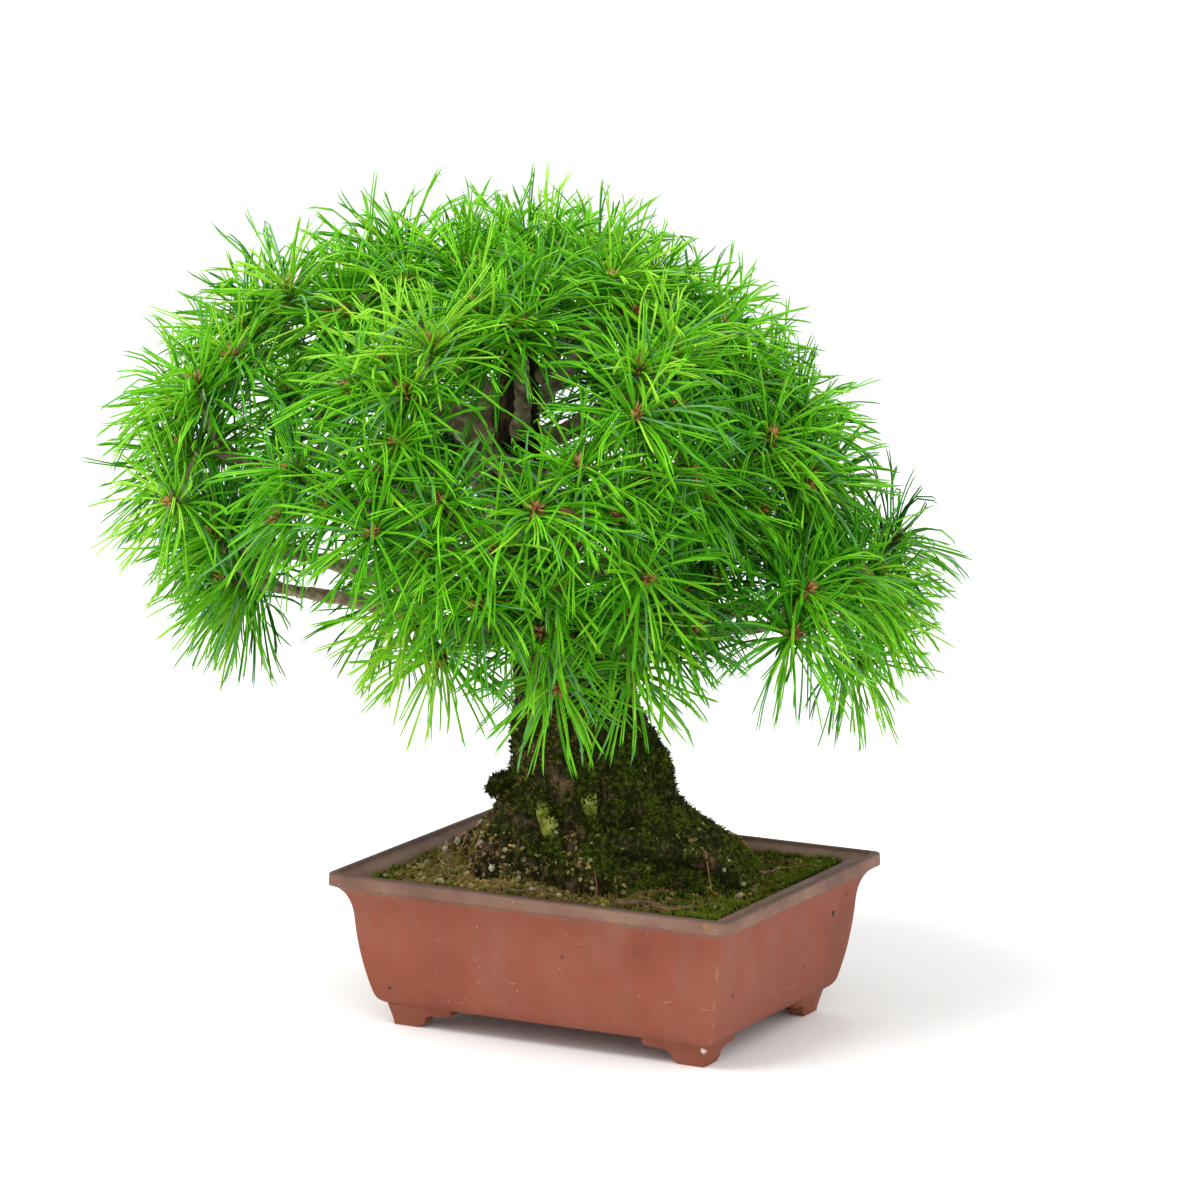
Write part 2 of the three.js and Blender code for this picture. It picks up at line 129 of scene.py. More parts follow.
studio = {
    "sky": 1.03,
    "floorHalf": 30,
    "floorColour": (0.96, 0.96, 0.96, 1),
    "floorRoughness": 0.9,
    "aimHeight": 0.25,
    "lamps": [
        {"name": "keyLamp", "place": (-0.9, -1.7, 3.6), "size": 2.0, "power": 125},
        {"name": "fillLamp", "place": (2.8, -1.6, 2.0), "size": 2.6, "power": 22},
    ],
}


def makeStudio():
    world = bpy.data.worlds.new("studio")
    world.use_nodes = True
    world.node_tree.nodes["Background"].inputs["Color"].default_value = (1, 1, 1, 1)
    world.node_tree.nodes["Background"].inputs["Strength"].default_value = studio["sky"]
    bpy.context.scene.world = world
    bpy.context.scene.view_settings.view_transform = "Standard"
    form = bmesh.new()
    bmesh.ops.create_grid(form, x_segments=1, y_segments=1, size=studio["floorHalf"])
    mesh = bpy.data.meshes.new("floor")
    form.to_mesh(mesh)
    form.free()
    floor = bpy.data.objects.new("floor", mesh)
    material = bpy.data.materials.new("paleFloor")
    material.use_nodes = True
    shader = material.node_tree.nodes["Principled BSDF"].inputs
    shader["Base Color"].default_value = studio["floorColour"]
    shader["Roughness"].default_value = studio["floorRoughness"]
    mesh.materials.append(material)
    bpy.context.scene.collection.objects.link(floor)
    for lamp in studio["lamps"]:
        light = bpy.data.lights.new(lamp["name"], "AREA")
        light.size = lamp["size"]
        light.energy = lamp["power"]
        holder = bpy.data.objects.new(lamp["name"], light)
        holder.location = lamp["place"]
        aim = Vector(lamp["place"]) - Vector((0, 0, studio["aimHeight"]))
        holder.rotation_euler = aim.to_track_quat("Z", "Y").to_euler()
        bpy.context.scene.collection.objects.link(holder)


makeCamera()
makeStudio()
print("camera and studio ready")


# Finishes

def addNode(tree, kind, inputs=None, **settings):
    node = tree.nodes.new(kind)
    for name, value in settings.items():
        setattr(node, name, value)
    for name, value in (inputs or {}).items():
        if isinstance(value, bpy.types.NodeSocket):
            tree.links.new(value, node.inputs[name])
        else:
            node.inputs[name].default_value = value
    return node


def mixColours(tree, share, first, second):
    return addNode(tree, "ShaderNodeMix", {0: share, 6: first, 7: second}, data_type="RGBA").outputs[2]


def rescale(tree, value, low, high, start=0.0, end=1.0):
    inputs = {"Value": value, "From Min": low, "From Max": high, "To Min": start, "To Max": end}
    return addNode(tree, "ShaderNodeMapRange", inputs).outputs["Result"]


def calculate(tree, operation, first, second):
    return addNode(tree, "ShaderNodeMath", {0: first, 1: second}, operation=operation).outputs[0]


def noiseOf(tree, vector, scale, detail, **more):
    inputs = {"Vector": vector, "Scale": scale, "Detail": detail, **more}
    return addNode(tree, "ShaderNodeTexNoise", inputs).outputs["Fac"]


# A shared effect takes a vector, numbers and colours, and gives one result
def newGroup(name, numbers, colours, result, resultKind="Float"):
    group = bpy.data.node_groups.new(name, "ShaderNodeTree")
    kinds = {"Vector": "Vector", **dict.fromkeys(numbers, "Float"), **dict.fromkeys(colours, "Color")}
    for label, kind in kinds.items():
        group.interface.new_socket(label, in_out="INPUT", socket_type=f"NodeSocket{kind}")
    group.interface.new_socket(result, in_out="OUTPUT", socket_type=f"NodeSocket{resultKind}")
    return group, group.nodes.new("NodeGroupInput").outputs, group.nodes.new("NodeGroupOutput").inputs


# Three colours of one stuff, dealt out by soft noise
def makeMottle():
    group, given, result = newGroup(
        "mottle", ("Scale", "Low", "High"), ("Dark", "Middle", "Light"), "Colour", "Color")
    soft = noiseOf(group, given["Vector"], given["Scale"], 6.0, Roughness=0.62)
    mask = rescale(group, soft, given["Low"], given["High"])
    lower = mixColours(group, rescale(group, mask, 0, 0.5), given["Dark"], given["Middle"])
    whole = mixColours(group, rescale(group, mask, 0.5, 1), lower, given["Light"])
    group.links.new(whole, result["Colour"])
    return group


# A rough surface: coarse lumps with finer crumbs on them
def makeCrumble():
    group, given, result = newGroup("crumble", ("Scale", "Finer", "Fine Share"), (), "Height")
    coarse = noiseOf(group, given["Vector"], given["Scale"], 4.0)
    finer = calculate(group, "MULTIPLY", given["Scale"], given["Finer"])
    fine = noiseOf(group, given["Vector"], finer, 3.0)
    share = calculate(group, "MULTIPLY", fine, given["Fine Share"])
    group.links.new(calculate(group, "ADD", coarse, share), result["Height"])
    return group


# Round dots strewn over a surface
def makeDots():
    group, given, result = newGroup("dots", ("Scale", "Size", "Softness", "Share"), (), "Mask")
    cells = addNode(group, "ShaderNodeTexVoronoi", {"Vector": given["Vector"], "Scale": given["Scale"]})
    rim = calculate(group, "ADD", given["Size"], given["Softness"])
    inside = rescale(group, cells.outputs["Distance"], given["Size"], rim, 1, 0)
    pick = addNode(group, "ShaderNodeSeparateColor", {"Color": cells.outputs["Color"]})
    kept = calculate(group, "LESS_THAN", pick.outputs[0], given["Share"])
    group.links.new(calculate(group, "MULTIPLY", inside, kept), result["Mask"])
    return group


mottle, crumble, dots = makeMottle(), makeCrumble(), makeDots()


def useGroup(tree, group, inputs):
    return addNode(tree, "ShaderNodeGroup", inputs, node_tree=group).outputs[0]


def mottled(tree, vector, scale, shades, span=(0.3, 0.7)):
    dark, middle, light = ((*shade, 1) for shade in shades)
    return useGroup(tree, mottle, {
        "Vector": vector, "Scale": scale, "Low": span[0], "High": span[1],
        "Dark": dark, "Middle": middle, "Light": light})


def crumbled(tree, vector, scale, finer, fineShare):
    return useGroup(tree, crumble, {
        "Vector": vector, "Scale": scale, "Finer": finer, "Fine Share": fineShare})


def dotted(tree, vector, scale, size, softness, share):
    return useGroup(tree, dots, {
        "Vector": vector, "Scale": scale, "Size": size, "Softness": softness, "Share": share})


def startMaterial(name, roughness, specular=0.5):
    material = bpy.data.materials.new(name)
    material.use_nodes = True
    tree = material.node_tree
    shader = tree.nodes["Principled BSDF"].inputs
    shader["Roughness"].default_value = roughness
    shader["Specular IOR Level"].default_value = specular
    spot = addNode(tree, "ShaderNodeTexCoord").outputs["Object"]
    return material, tree, shader, spot


def addBump(tree, shader, height, strength, depth):
    bump = addNode(tree, "ShaderNodeBump", {"Height": height, "Strength": strength, "Distance": depth})
    tree.links.new(bump.outputs["Normal"], shader["Normal"])


def stretched(tree, spot, scale):
    return addNode(tree, "ShaderNodeMapping", {"Vector": spot, "Scale": scale}).outputs["Vector"]


def attributeOf(tree, name):
    return addNode(tree, "ShaderNodeAttribute", attribute_name=name).outputs["Fac"]


clayLook = {
    # Three colours, the scale of their mottling and its stretch
    "wall": (((0.185, 0.046, 0.024), (0.245, 0.06, 0.031), (0.255, 0.082, 0.048)), 17.0, (1, 1, 0.7)),
    "rim": (((0.125, 0.064, 0.046), (0.19, 0.1, 0.068), (0.24, 0.142, 0.1)), 26.0, (1, 1, 1)),
    "foot": (((0.19, 0.048, 0.022), (0.235, 0.065, 0.032), (0.25, 0.085, 0.048)), 30.0, (1, 1, 1)),
    # Heights between which each of them fades in, and how far the borders waver
    "rimBand": (0.0828, 0.0884),
    "topBand": (0.0942, 0.0954),
    "footBand": (0.0148, 0.0132),
    "waver": 0.0022,
    "waverScale": 60.0,
    # A dark line along the top of the rim's bead: dirt and painted shade of the groove beside it
    "beadDirtAndShade": (0.085, 0.05, 0.038),
    "beadDirtAndShadeShare": 0.75,
    "worn": (0.4, 0.19, 0.12),
    "wornShare": 0.6,
    # Stains by noise: colour, stretch, scale, detail and distortion, the span they fade in over and
    # their strength. Grime creeps up and down the wall in soft streaks.
    "stains": {
        "grime": ((0.2, 0.09, 0.065), (1, 1, 0.25), 70.0, 5.0, 0.0, (0.52, 0.8), 0.42),
        "bloom": ((0.42, 0.24, 0.17), (1, 1, 1), 33.0, 8.0, 0.0, (0.56, 0.8), 0.16),
        "scratches": ((0.62, 0.45, 0.37), (1, 1, 5), 48.0, 2.0, 1.6, (0.72, 0.76), 0.22),
    },
    # Dots: colour, scale, size, softness and share; the last ones are pits as well
    "dots": [
        ((0.62, 0.45, 0.37), 330.0, 0.06, 0.08, 0.05),
        ((0.035, 0.03, 0.028), 95.0, 0.09, 0.05, 0.07),
    ],
    # Single marks in the frame of the pot: place, radius and colour
    "marks": [
        ((122, 76, 73.5), 1.5, (0.02, 0.014, 0.01)), ((121.6, 60, 66), 2.1, (0.022, 0.015, 0.01)),
        ((119.5, 27, 39.5), 1.1, (0.02, 0.014, 0.01)), ((120, -103.6, 92), 1.4, (0.32, 0.13, 0.03)),
        ((105, -76, 11), 1.9, (0.6, 0.58, 0.56)), ((-60, -91.6, 52), 1.1, (0.03, 0.02, 0.016)),
        ((20, -91.8, 60), 1.2, (0.12, 0.04, 0.03)),
    ],
    "markScale": 420.0,
    "markWaver": 0.0006,
    "markEdge": 0.4,
    "roughness": (0.62, 0.85),
    "bump": 0.35,
    "bumpDepth": 0.0006,
}


def clayFinish():
    look = clayLook
    material, tree, shader, spot = startMaterial("unglazedClay", 0.72, 0.32)

    def shaded(name):
        shades, scale, stretch = look[name]
        return mottled(tree, stretched(tree, spot, stretch), scale, shades)

    height = addNode(tree, "ShaderNodeSeparateXYZ", {"Vector": spot}).outputs["Z"]
    wavy = noiseOf(tree, spot, look["waverScale"], 4.0)
    lifted = calculate(tree, "ADD", height, rescale(tree, wavy, 0.3, 0.7, -look["waver"], look["waver"]))
    # The top of the rim's bead is darkened: dirt and painted shade
    atTop = rescale(tree, height, *look["topBand"], 0, look["beadDirtAndShadeShare"])
    colour = mixColours(tree, rescale(tree, lifted, *look["footBand"]), shaded("wall"), shaded("foot"))
    colour = mixColours(tree, rescale(tree, lifted, *look["rimBand"]), colour, shaded("rim"))
    colour = mixColours(tree, atTop, colour, (*look["beadDirtAndShade"], 1))
    # The upright corners are rubbed pale here and there
    patchy = rescale(tree, wavy, 0.42, 0.62, 0, look["wornShare"])
    rubbed = calculate(tree, "MULTIPLY", attributeOf(tree, "edge"), patchy)
    worn = rescale(tree, rubbed, 0.2, 0.6, 0, look["wornShare"])
    colour = mixColours(tree, worn, colour, (*look["worn"], 1))
    noises = {}
    for name, (stain, stretch, scale, detail, distortion, span, most) in look["stains"].items():
        noises[name] = noiseOf(tree, stretched(tree, spot, stretch), scale, detail, Distortion=distortion)
        colour = mixColours(tree, rescale(tree, noises[name], *span, 0, most), colour, (*stain, 1))
    for stain, *pattern in look["dots"]:
        mask = dotted(tree, spot, *pattern)
        colour = mixColours(tree, mask, colour, (*stain, 1))
    ragged = noiseOf(tree, spot, look["markScale"], 3.0)
    for place, radius, stain in look["marks"]:
        away = addNode(tree, "ShaderNodeVectorMath", {0: spot, 1: toFrame @ Vector(place)},
                       operation="DISTANCE").outputs["Value"]
        waver = rescale(tree, ragged, 0.3, 0.7, -look["markWaver"], look["markWaver"])
        shaken = calculate(tree, "ADD", away, waver)
        inside = rescale(tree, shaken, (radius + look["markEdge"]) * mm, (radius - look["markEdge"]) * mm)
        colour = mixColours(tree, inside, colour, (*stain, 1))
    tree.links.new(colour, shader["Base Color"])
    tree.links.new(rescale(tree, noises["bloom"], 0.3, 0.8, *look["roughness"]), shader["Roughness"])
    pits = calculate(tree, "SUBTRACT", crumbled(tree, spot, look["markScale"], 3.1, 0.7), mask)
    addBump(tree, shader, pits, look["bump"], look["bumpDepth"])
    return material


mossLook = {
    "shades": ((0.006, 0.008, 0.002), (0.022, 0.03, 0.004), (0.09, 0.11, 0.012)),
    "scale": 260.0,
    "span": (0.34, 0.66),
    "raggedScale": 380.0,
    "ragged": 0.35,
    "border": (0.4, 0.6),
    "bump": 0.9,
}


# Bark, soil and roots carry their moss as an attribute, so that the tufts and the colours agree; on the pale
# roots it carries painted shade along their sides too
def mossyFinish(name, look):
    material, tree, shader, spot = startMaterial(name, 0.9, 0.08)
    grain = stretched(tree, spot, look["stretch"])
    bare = mottled(tree, grain, look["scale"], look["shades"], mossLook["span"])
    green = mottled(tree, spot, mossLook["scale"], mossLook["shades"], mossLook["span"])
    ragged = noiseOf(tree, spot, mossLook["raggedScale"], 4.0)
    waver = rescale(tree, ragged, 0.3, 0.7, -mossLook["ragged"], mossLook["ragged"])
    edge = calculate(tree, "ADD", attributeOf(tree, "moss"), waver)
    colour = mixColours(tree, rescale(tree, edge, *mossLook["border"]), bare, green)
    flecks = dotted(tree, spot, look["fleckScale"], 0.22, 0.12, look["flecks"])
    colour = mixColours(tree, flecks, colour, (*look["fleck"], 1))
    tree.links.new(colour, shader["Base Color"])
    height = crumbled(tree, grain, look["bumpScale"], 3.2, 0.6)
    addBump(tree, shader, height, mossLook["bump"], look["bumpDepth"])
    return material


# A plain stuff: mottled colour over a crumbly surface
def plainStuff(name, dark, middle, light, scale, bumpScale, bump, bumpDepth, roughness):
    material, tree, shader, spot = startMaterial(name, roughness)
    tree.links.new(mottled(tree, spot, scale, (dark, middle, light), (0.32, 0.68)), shader["Base Color"])
    addBump(tree, shader, crumbled(tree, spot, bumpScale, 3.4, 0.5), bump, bumpDepth)
    return material


finishes = {
    "clay": clayFinish(),
    # The bark's shades are darker in part as painted shade for the crown's shadow on the trunk
    "trunk": mossyFinish("mossyBark", {
        "shades": ((0.005, 0.0035, 0.002), (0.024, 0.017, 0.008), (0.13, 0.085, 0.048)),
        "stretch": (1, 1, 0.5), "scale": 150.0, "bumpScale": 230.0, "bumpDepth": 0.0025,
        "fleck": (0.30, 0.36, 0.14), "flecks": 0.1, "fleckScale": 170.0}),
    "soil": mossyFinish("mossySoil", {
        "shades": ((0.045, 0.034, 0.01), (0.2, 0.15, 0.04), (0.4, 0.32, 0.1)),
        "stretch": (1, 1, 1), "scale": 240.0, "bumpScale": 300.0, "bumpDepth": 0.002,
        "fleck": (0.42, 0.36, 0.22), "flecks": 0.14, "fleckScale": 240.0}),
    "root": mossyFinish("paleRoots", {
        "shades": ((0.03, 0.035, 0.008), (0.16, 0.19, 0.02), (0.38, 0.42, 0.12)),
        "stretch": (1, 1, 1), "scale": 120.0, "bumpScale": 330.0, "bumpDepth": 0.0012,
        "fleck": (0.5, 0.5, 0.34), "flecks": 0.16, "fleckScale": 190.0}),
}

# Name, dark, middle and light colour, their scale, the bump's scale, strength and depth, roughness
plainLooks = {
    "stick": ("oldSticks", (0.06, 0.03, 0.014), (0.15, 0.085, 0.045), (0.28, 0.18, 0.1),
              160.0, 500.0, 0.7, 0.0006, 0.85),
    "bough": ("ringedBark", (0.055, 0.042, 0.02), (0.2, 0.158, 0.085), (0.42, 0.36, 0.21),
              130.0, 420.0, 0.8, 0.001, 0.85),
    "twig": ("twigBark", (0.08, 0.045, 0.02), (0.2, 0.12, 0.055), (0.36, 0.24, 0.12),
             150.0, 600.0, 0.6, 0.0006, 0.8),
    "bud": ("budScales", (0.17, 0.06, 0.016), (0.4, 0.17, 0.045), (0.64, 0.36, 0.14),
            200.0, 900.0, 0.4, 0.0004, 0.6),
    "paleGrit": ("paleGrit", (0.18, 0.14, 0.07), (0.42, 0.37, 0.24), (0.78, 0.74, 0.58),
                 220.0, 500.0, 0.5, 0.0006, 0.8),
    "ochreGrit": ("ochreGrit", (0.09, 0.062, 0.022), (0.26, 0.185, 0.06), (0.48, 0.36, 0.13),
                  160.0, 500.0, 0.5, 0.0006, 0.85),
    "deadNeedle": ("deadNeedles", (0.12, 0.05, 0.018), (0.3, 0.14, 0.05), (0.55, 0.34, 0.14),
                   40.0, 700.0, 0.2, 0.0002, 0.6),
}
finishes.update({name: plainStuff(*look) for name, look in plainLooks.items()})

# The greens of needles and moss, each a plain colour that is dealt out by bundle or by patch, with
# its roughness and its specular level. The needle greens from deep to sunlit are darker and lighter
# greens for painted shade and painted light; the glaucous one is the needles' own pale bands.
greens = {
    "needlesDeep": ((0.011, 0.12, 0.002), 0.42, 0.12),
    "needlesForest": ((0.036, 0.24, 0.003), 0.4, 0.12),
    "needlesFresh": ((0.082, 0.37, 0.005), 0.38, 0.13),
    "needlesBright": ((0.16, 0.53, 0.012), 0.38, 0.14),
    "needlesSunlit": ((0.3, 0.66, 0.035), 0.38, 0.16),
    "needlesGlaucous": ((0.115, 0.34, 0.11), 0.4, 0.25),
    "mossBright": ((0.12, 0.175, 0.009), 0.85, 0.1),
    "mossDeep": ((0.025, 0.038, 0.003), 0.9, 0.08),
    "mossDry": ((0.23, 0.17, 0.034), 0.9, 0.08),
}


def greenFinish(name):
    colour, roughness, specular = greens[name]
    material, tree, shader, spot = startMaterial(name, roughness, specular)
    shades = [[channel * share for channel in colour] for share in (0.78, 1, 1.22)]
    tree.links.new(mottled(tree, spot, 55.0, shades), shader["Base Color"])
    return material


finishes.update({name: greenFinish(name) for name in greens})
print("finishes ready")


# Pieces and joined meshes

def addPiece(name, mesh, finish, replaced=()):
    piece = bpy.data.objects.new(name, mesh)
    bpy.context.scene.collection.objects.link(piece)
    mesh.materials.append(finishes[finish])
    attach(piece, "root")
    if replaced:
        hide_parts(*replaced)
    print(f"{name}: {sum(len(face.vertices) - 2 for face in mesh.polygons)} triangles")


def addForm(name, form, finish, replaced=(), sharpAngle=180):
    bmesh.ops.recalc_face_normals(form, faces=form.faces[:])
    form.transform(toFrame)
    mesh = bpy.data.meshes.new(name)
    form.to_mesh(mesh)
    form.free()
    mesh.shade_smooth()
    mesh.set_sharp_from_angle(angle=math.radians(sharpAngle))
    addPiece(name, mesh, finish, replaced)


def arrayMesh(name, corners, triangles):
    mesh = bpy.data.meshes.new(name)
    placed = corners * mm + np.array(potMiddle)
    mesh.vertices.add(len(placed))
    mesh.vertices.foreach_set("co", placed.astype(np.float32).ravel())
    mesh.loops.add(triangles.size)
    mesh.loops.foreach_set("vertex_index", triangles.astype(np.int32).ravel())
    mesh.polygons.add(len(triangles))
    mesh.polygons.foreach_set("loop_start", np.arange(0, triangles.size, 3, dtype=np.int32))
    mesh.update(calc_edges=True)
    mesh.shade_smooth()
    return mesh


def joined(parts):
    counts = np.cumsum([0] + [len(corners) for corners, triangles in parts])
    triangles = [triangles + start for (corners, triangles), start in zip(parts, counts)]
    return np.concatenate([corners for corners, triangles in parts]), np.concatenate(triangles)


def unit(rows):
    return rows / np.linalg.norm(rows, axis=-1, keepdims=True)


# Many tubes at once: lines is (tubes, points, 3), and each tube closes to a tip at its last point
def tubes(lines, radii, sides):
    steps = np.diff(lines, axis=1)
    tangents = unit(np.concatenate([steps[:, :1], steps[:, 1:] + steps[:, :-1], steps[:, -1:]], axis=1))
    middle = unit(tangents.mean(axis=1))
    helper = np.where(np.abs(middle[:, 2:]) < 0.75, (0.0, 0.0, 1.0), (1.0, 0.0, 0.0))
    reference = unit(np.cross(middle, helper))[:, None]
    across = unit(reference - (reference * tangents).sum(-1, keepdims=True) * tangents)
    upright = np.cross(tangents, across)
    turns = (np.arange(sides) * 2 * math.pi / sides)[:, None]
    ring = across[:, :, None] * np.cos(turns) + upright[:, :, None] * np.sin(turns)
    rings = lines[:, :, None] + radii[:, :, None, None] * ring
    count = lines.shape[1] - 1
    corners = np.concatenate([rings[:, :count].reshape(len(lines), count * sides, 3), lines[:, -1:]], axis=1)
    pattern = []
    for start in range(0, (count - 1) * sides, sides):
        for side in range(sides):
            a, b = start + side, start + (side + 1) % sides
            pattern += [(a, b, b + sides), (a, b + sides, a + sides)]
    last = (count - 1) * sides
    pattern += [(last + side, last + (side + 1) % sides, count * sides) for side in range(sides)]
    pattern += [(0, side + 1, side) for side in range(1, sides - 1)]
    starts = np.arange(len(lines)) * corners.shape[1]
    triangles = np.array(pattern)[None] + starts[:, None, None]
    return corners.reshape(-1, 3), triangles.reshape(-1, 3)


def addTubes(name, lines, radii, sides, finish, slot, replaced=()):
    addPiece(name, arrayMesh(name, *tubes(lines, radii, sides)), finish, replaced)


# Points spaced evenly along a line
def evenly(line, count):
    reached = np.concatenate([[0], np.cumsum(np.linalg.norm(np.diff(line, axis=0), axis=1))])
    wanted = np.linspace(0, reached[-1], count)
    return np.stack([np.interp(wanted, reached, line[:, k]) for k in range(3)], axis=1)


# A centripetal Catmull-Rom curve through the points, spaced evenly
def smoothLine(points, count):
    points = np.array(points, dtype=float)
    knots = np.concatenate([[2 * points[0] - points[1]], points, [2 * points[-1] - points[-2]]])
    fine = []
    share = np.linspace(0, 1, 60, endpoint=False)[:, None]
    for p0, p1, p2, p3 in zip(knots, knots[1:], knots[2:], knots[3:]):
        d0, d1, d2 = (np.linalg.norm(b - a) ** 0.5 for a, b in ((p0, p1), (p1, p2), (p2, p3)))
        leave = ((p1 - p0) / d0 - (p2 - p0) / (d0 + d1) + (p2 - p1) / d1) * d1
        reach = ((p2 - p1) / d1 - (p3 - p1) / (d1 + d2) + (p3 - p2) / d2) * d1
        cubic = (2 * p1 - 2 * p2 + leave + reach) * share ** 3
        fine.append(p1 + leave * share + (3 * p2 - 3 * p1 - 2 * leave - reach) * share ** 2 + cubic)
    fine.append(points[-1:])
    return evenly(np.concatenate(fine), count)


def bentLine(start, turning, end, count):
    share = np.linspace(0, 1, 60)[:, None]
    line = start * (1 - share) ** 2 + turning * 2 * share * (1 - share) + end * share ** 2
    return evenly(line, count)


# The skin of finished pieces, in millimetres, for what rests on them
def surfaceOf(*names):
    corners, faces = [], []
    for name in names:
        mesh = bpy.data.objects[name].data
        first = len(corners)
        corners += [(vert.co - potMiddle) / mm for vert in mesh.vertices]
        faces += [[first + index for index in face.vertices] for face in mesh.polygons]
    return BVHTree.FromPolygons(corners, faces)


# A grid rolled up into a tube or laid out as a sheet by a rule of two shares from 0 to 1
def shapedGrid(form, around, along, placeOf):
    made = bmesh.ops.create_grid(form, x_segments=around, y_segments=along, size=1)["verts"]
    reach = max(vert.co.x for vert in made)
    for vert in made:
        vert.co = placeOf(0.5 + vert.co.x / (2 * reach), 0.5 + vert.co.y / (2 * reach))
    bmesh.ops.remove_doubles(form, verts=made, dist=1e-3)


def closeEnds(form):
    bmesh.ops.holes_fill(form, edges=[edge for edge in form.edges if edge.is_boundary], sides=0)


# Writes down how mossy a form is at each of its points; on the pale roots this holds painted shade as well
def writeMoss(form, rule):
    layer = form.verts.layers.float.new("moss")
    for vert in form.verts:
        vert[layer] = rule(vert)


# Pot

potShape = {
    "cornerRadius": 5,
    "wallCorner": 2.6,
    "cornerSegments": 6,
    "columns": 24,
    "shortestSide": 50,
    "unevenness": 0.35,
    "waveLength": 45,
    "sharpAngle": 32,
    # Insets from the rim's edge and heights, from the underside up to the floor inside
    "footHeight": 13.5,
    "sole": 29,
    "soleTurn": 21.5,
    "wallFoot": (19.5, 20.5),
    "wallTurn": (13.6, 42),
    "wallTop": (11.8, 65.3),
    "coveTurn": (10.9, 84.5),
    "rimBand": 8,
    "rimFace": [(0, 4.5), (0.15, 2.6)],
    "rimRound": 1.4,
    "bead": 4.6,
    "beadDrop": 2.1,
    "slopeFoot": (17.5, 92.6),
    "innerWall": (19.5, 82),
    "floor": (33, 23.5),
}


def potProfile():
    shape = potShape
    top, bead, rounded = potSize.z, shape["bead"], shape["rimRound"]
    sole = (shape["sole"], shape["footHeight"])
    band = top - shape["rimBand"]

    def curve(start, turning, end, steps):
        shares = [step / steps for step in range(1, steps + 1)]
        return [tuple(start[k] * (1 - s) ** 2 + turning[k] * 2 * s * (1 - s) + end[k] * s * s for k in (0, 1))
                for s in shares]

    points = [sole, (shape["sole"] - 0.6, shape["footHeight"])]
    points += curve(sole, (shape["soleTurn"], shape["footHeight"]), shape["wallFoot"], 8)
    points += curve(shape["wallFoot"], shape["wallTurn"], shape["wallTop"], 12)
    points += curve(shape["wallTop"], shape["coveTurn"], (0.8, band), 10)
    points += curve(points[-1], (0, band), (0, band + 0.8), 3)
    points += [(inset, top - drop) for inset, drop in shape["rimFace"]] + [(0.1, top - rounded)]
    points += curve(points[-1], (0.1, top), (rounded + 0.4, top), 4)
    points += curve((bead - 1.2, top), (bead, top), (bead + 0.3, top - 0.9), 3)
    points += curve(points[-1], (bead + 0.6, top - 1.7), (bead + 2.2, top - shape["beadDrop"]), 3)
    slope = shape["slopeFoot"]
    points += [((bead + slope[0]) / 2 + 1, (top - shape["beadDrop"] + slope[1]) / 2)]
    points += curve(points[-1], slope, (slope[0] + 1, slope[1] - 3), 4)
    return points + [shape["innerWall"], shape["floor"]]


# Extrudes a face in place; the old face stays only as the closed start of a body
def raiseFace(form, face, removeOld):
    grown = bmesh.ops.extrude_face_region(form, geom=[face])["geom"]
    if removeOld:
        bmesh.ops.delete(form, geom=[face], context="FACES_ONLY")
    verts = [part for part in grown if isinstance(part, bmesh.types.BMVert)]
    return verts, next(part for part in grown if isinstance(part, bmesh.types.BMFace))


# Draws the rounded corners of a ring in towards sharp ones
def tightenCorners(verts, inset, radius, edgeLayer):
    halves = potSize.x / 2 - inset, potSize.y / 2 - inset
    corner = potShape["cornerRadius"]
    rounds = [half * 2 * corner / size for half, size in zip(halves, (potSize.x, potSize.y))]
    for vert in verts:
        shares = [(abs(place) - (half - old)) / old for place, half, old in zip(vert.co.xy, halves, rounds)]
        if min(shares) > -1e-4:
            vert[edgeLayer] = 1 - abs(shares[0] - shares[1])
            vert.co.x = math.copysign(halves[0] - radius + radius * shares[0], vert.co.x)
            vert.co.y = math.copysign(halves[1] - radius + radius * shares[1], vert.co.y)


def growVessel(form):
    length, width = potSize.x, potSize.y
    edgeLayer = form.verts.layers.float.new("edge")
    bmesh.ops.create_grid(form, x_segments=1, y_segments=1, size=0.5)
    bmesh.ops.scale(form, vec=(length, width, 1), verts=form.verts[:])
    bmesh.ops.bevel(
        form, geom=form.verts[:], offset=potShape["cornerRadius"], offset_type="OFFSET",
        segments=potShape["cornerSegments"], profile=0.5, affect="VERTICES", material=-1)
    sides = [edge for edge in form.edges if edge.calc_length() > potShape["shortestSide"]]
    bmesh.ops.subdivide_edges(form, edges=sides, cuts=potShape["columns"])
    verts, face = form.verts[:], next(iter(form.faces))
    lastInset, lastHeight = 0, 0
    rings = []
    for index, (inset, height) in enumerate(potProfile()):
        if index:
            verts, face = raiseFace(form, face, index > 1)
        ratios = [(size - 2 * inset) / (size - 2 * lastInset) for size in (length, width)]
        bmesh.ops.scale(form, vec=(*ratios, 1), verts=verts)
        bmesh.ops.translate(form, vec=(0, 0, height - lastHeight), verts=verts)
        lastInset, lastHeight = inset, height
        rings.append((verts, inset))
    for verts, inset in rings:
        wallward = clamped((inset - 1) / 8)
        corner = potShape["cornerRadius"] + (potShape["wallCorner"] - potShape["cornerRadius"]) * wallward
        tightenCorners(verts, inset, corner, edgeLayer)
    for vert in form.verts:
        wander = noise.noise_vector(vert.co / potShape["waveLength"]) * potShape["unevenness"]
        if vert.co.z < potSize.z - 0.5:
            vert.co.x -= abs(wander.x) * math.copysign(1, vert.co.x)
            vert.co.y -= abs(wander.y) * math.copysign(1, vert.co.y)


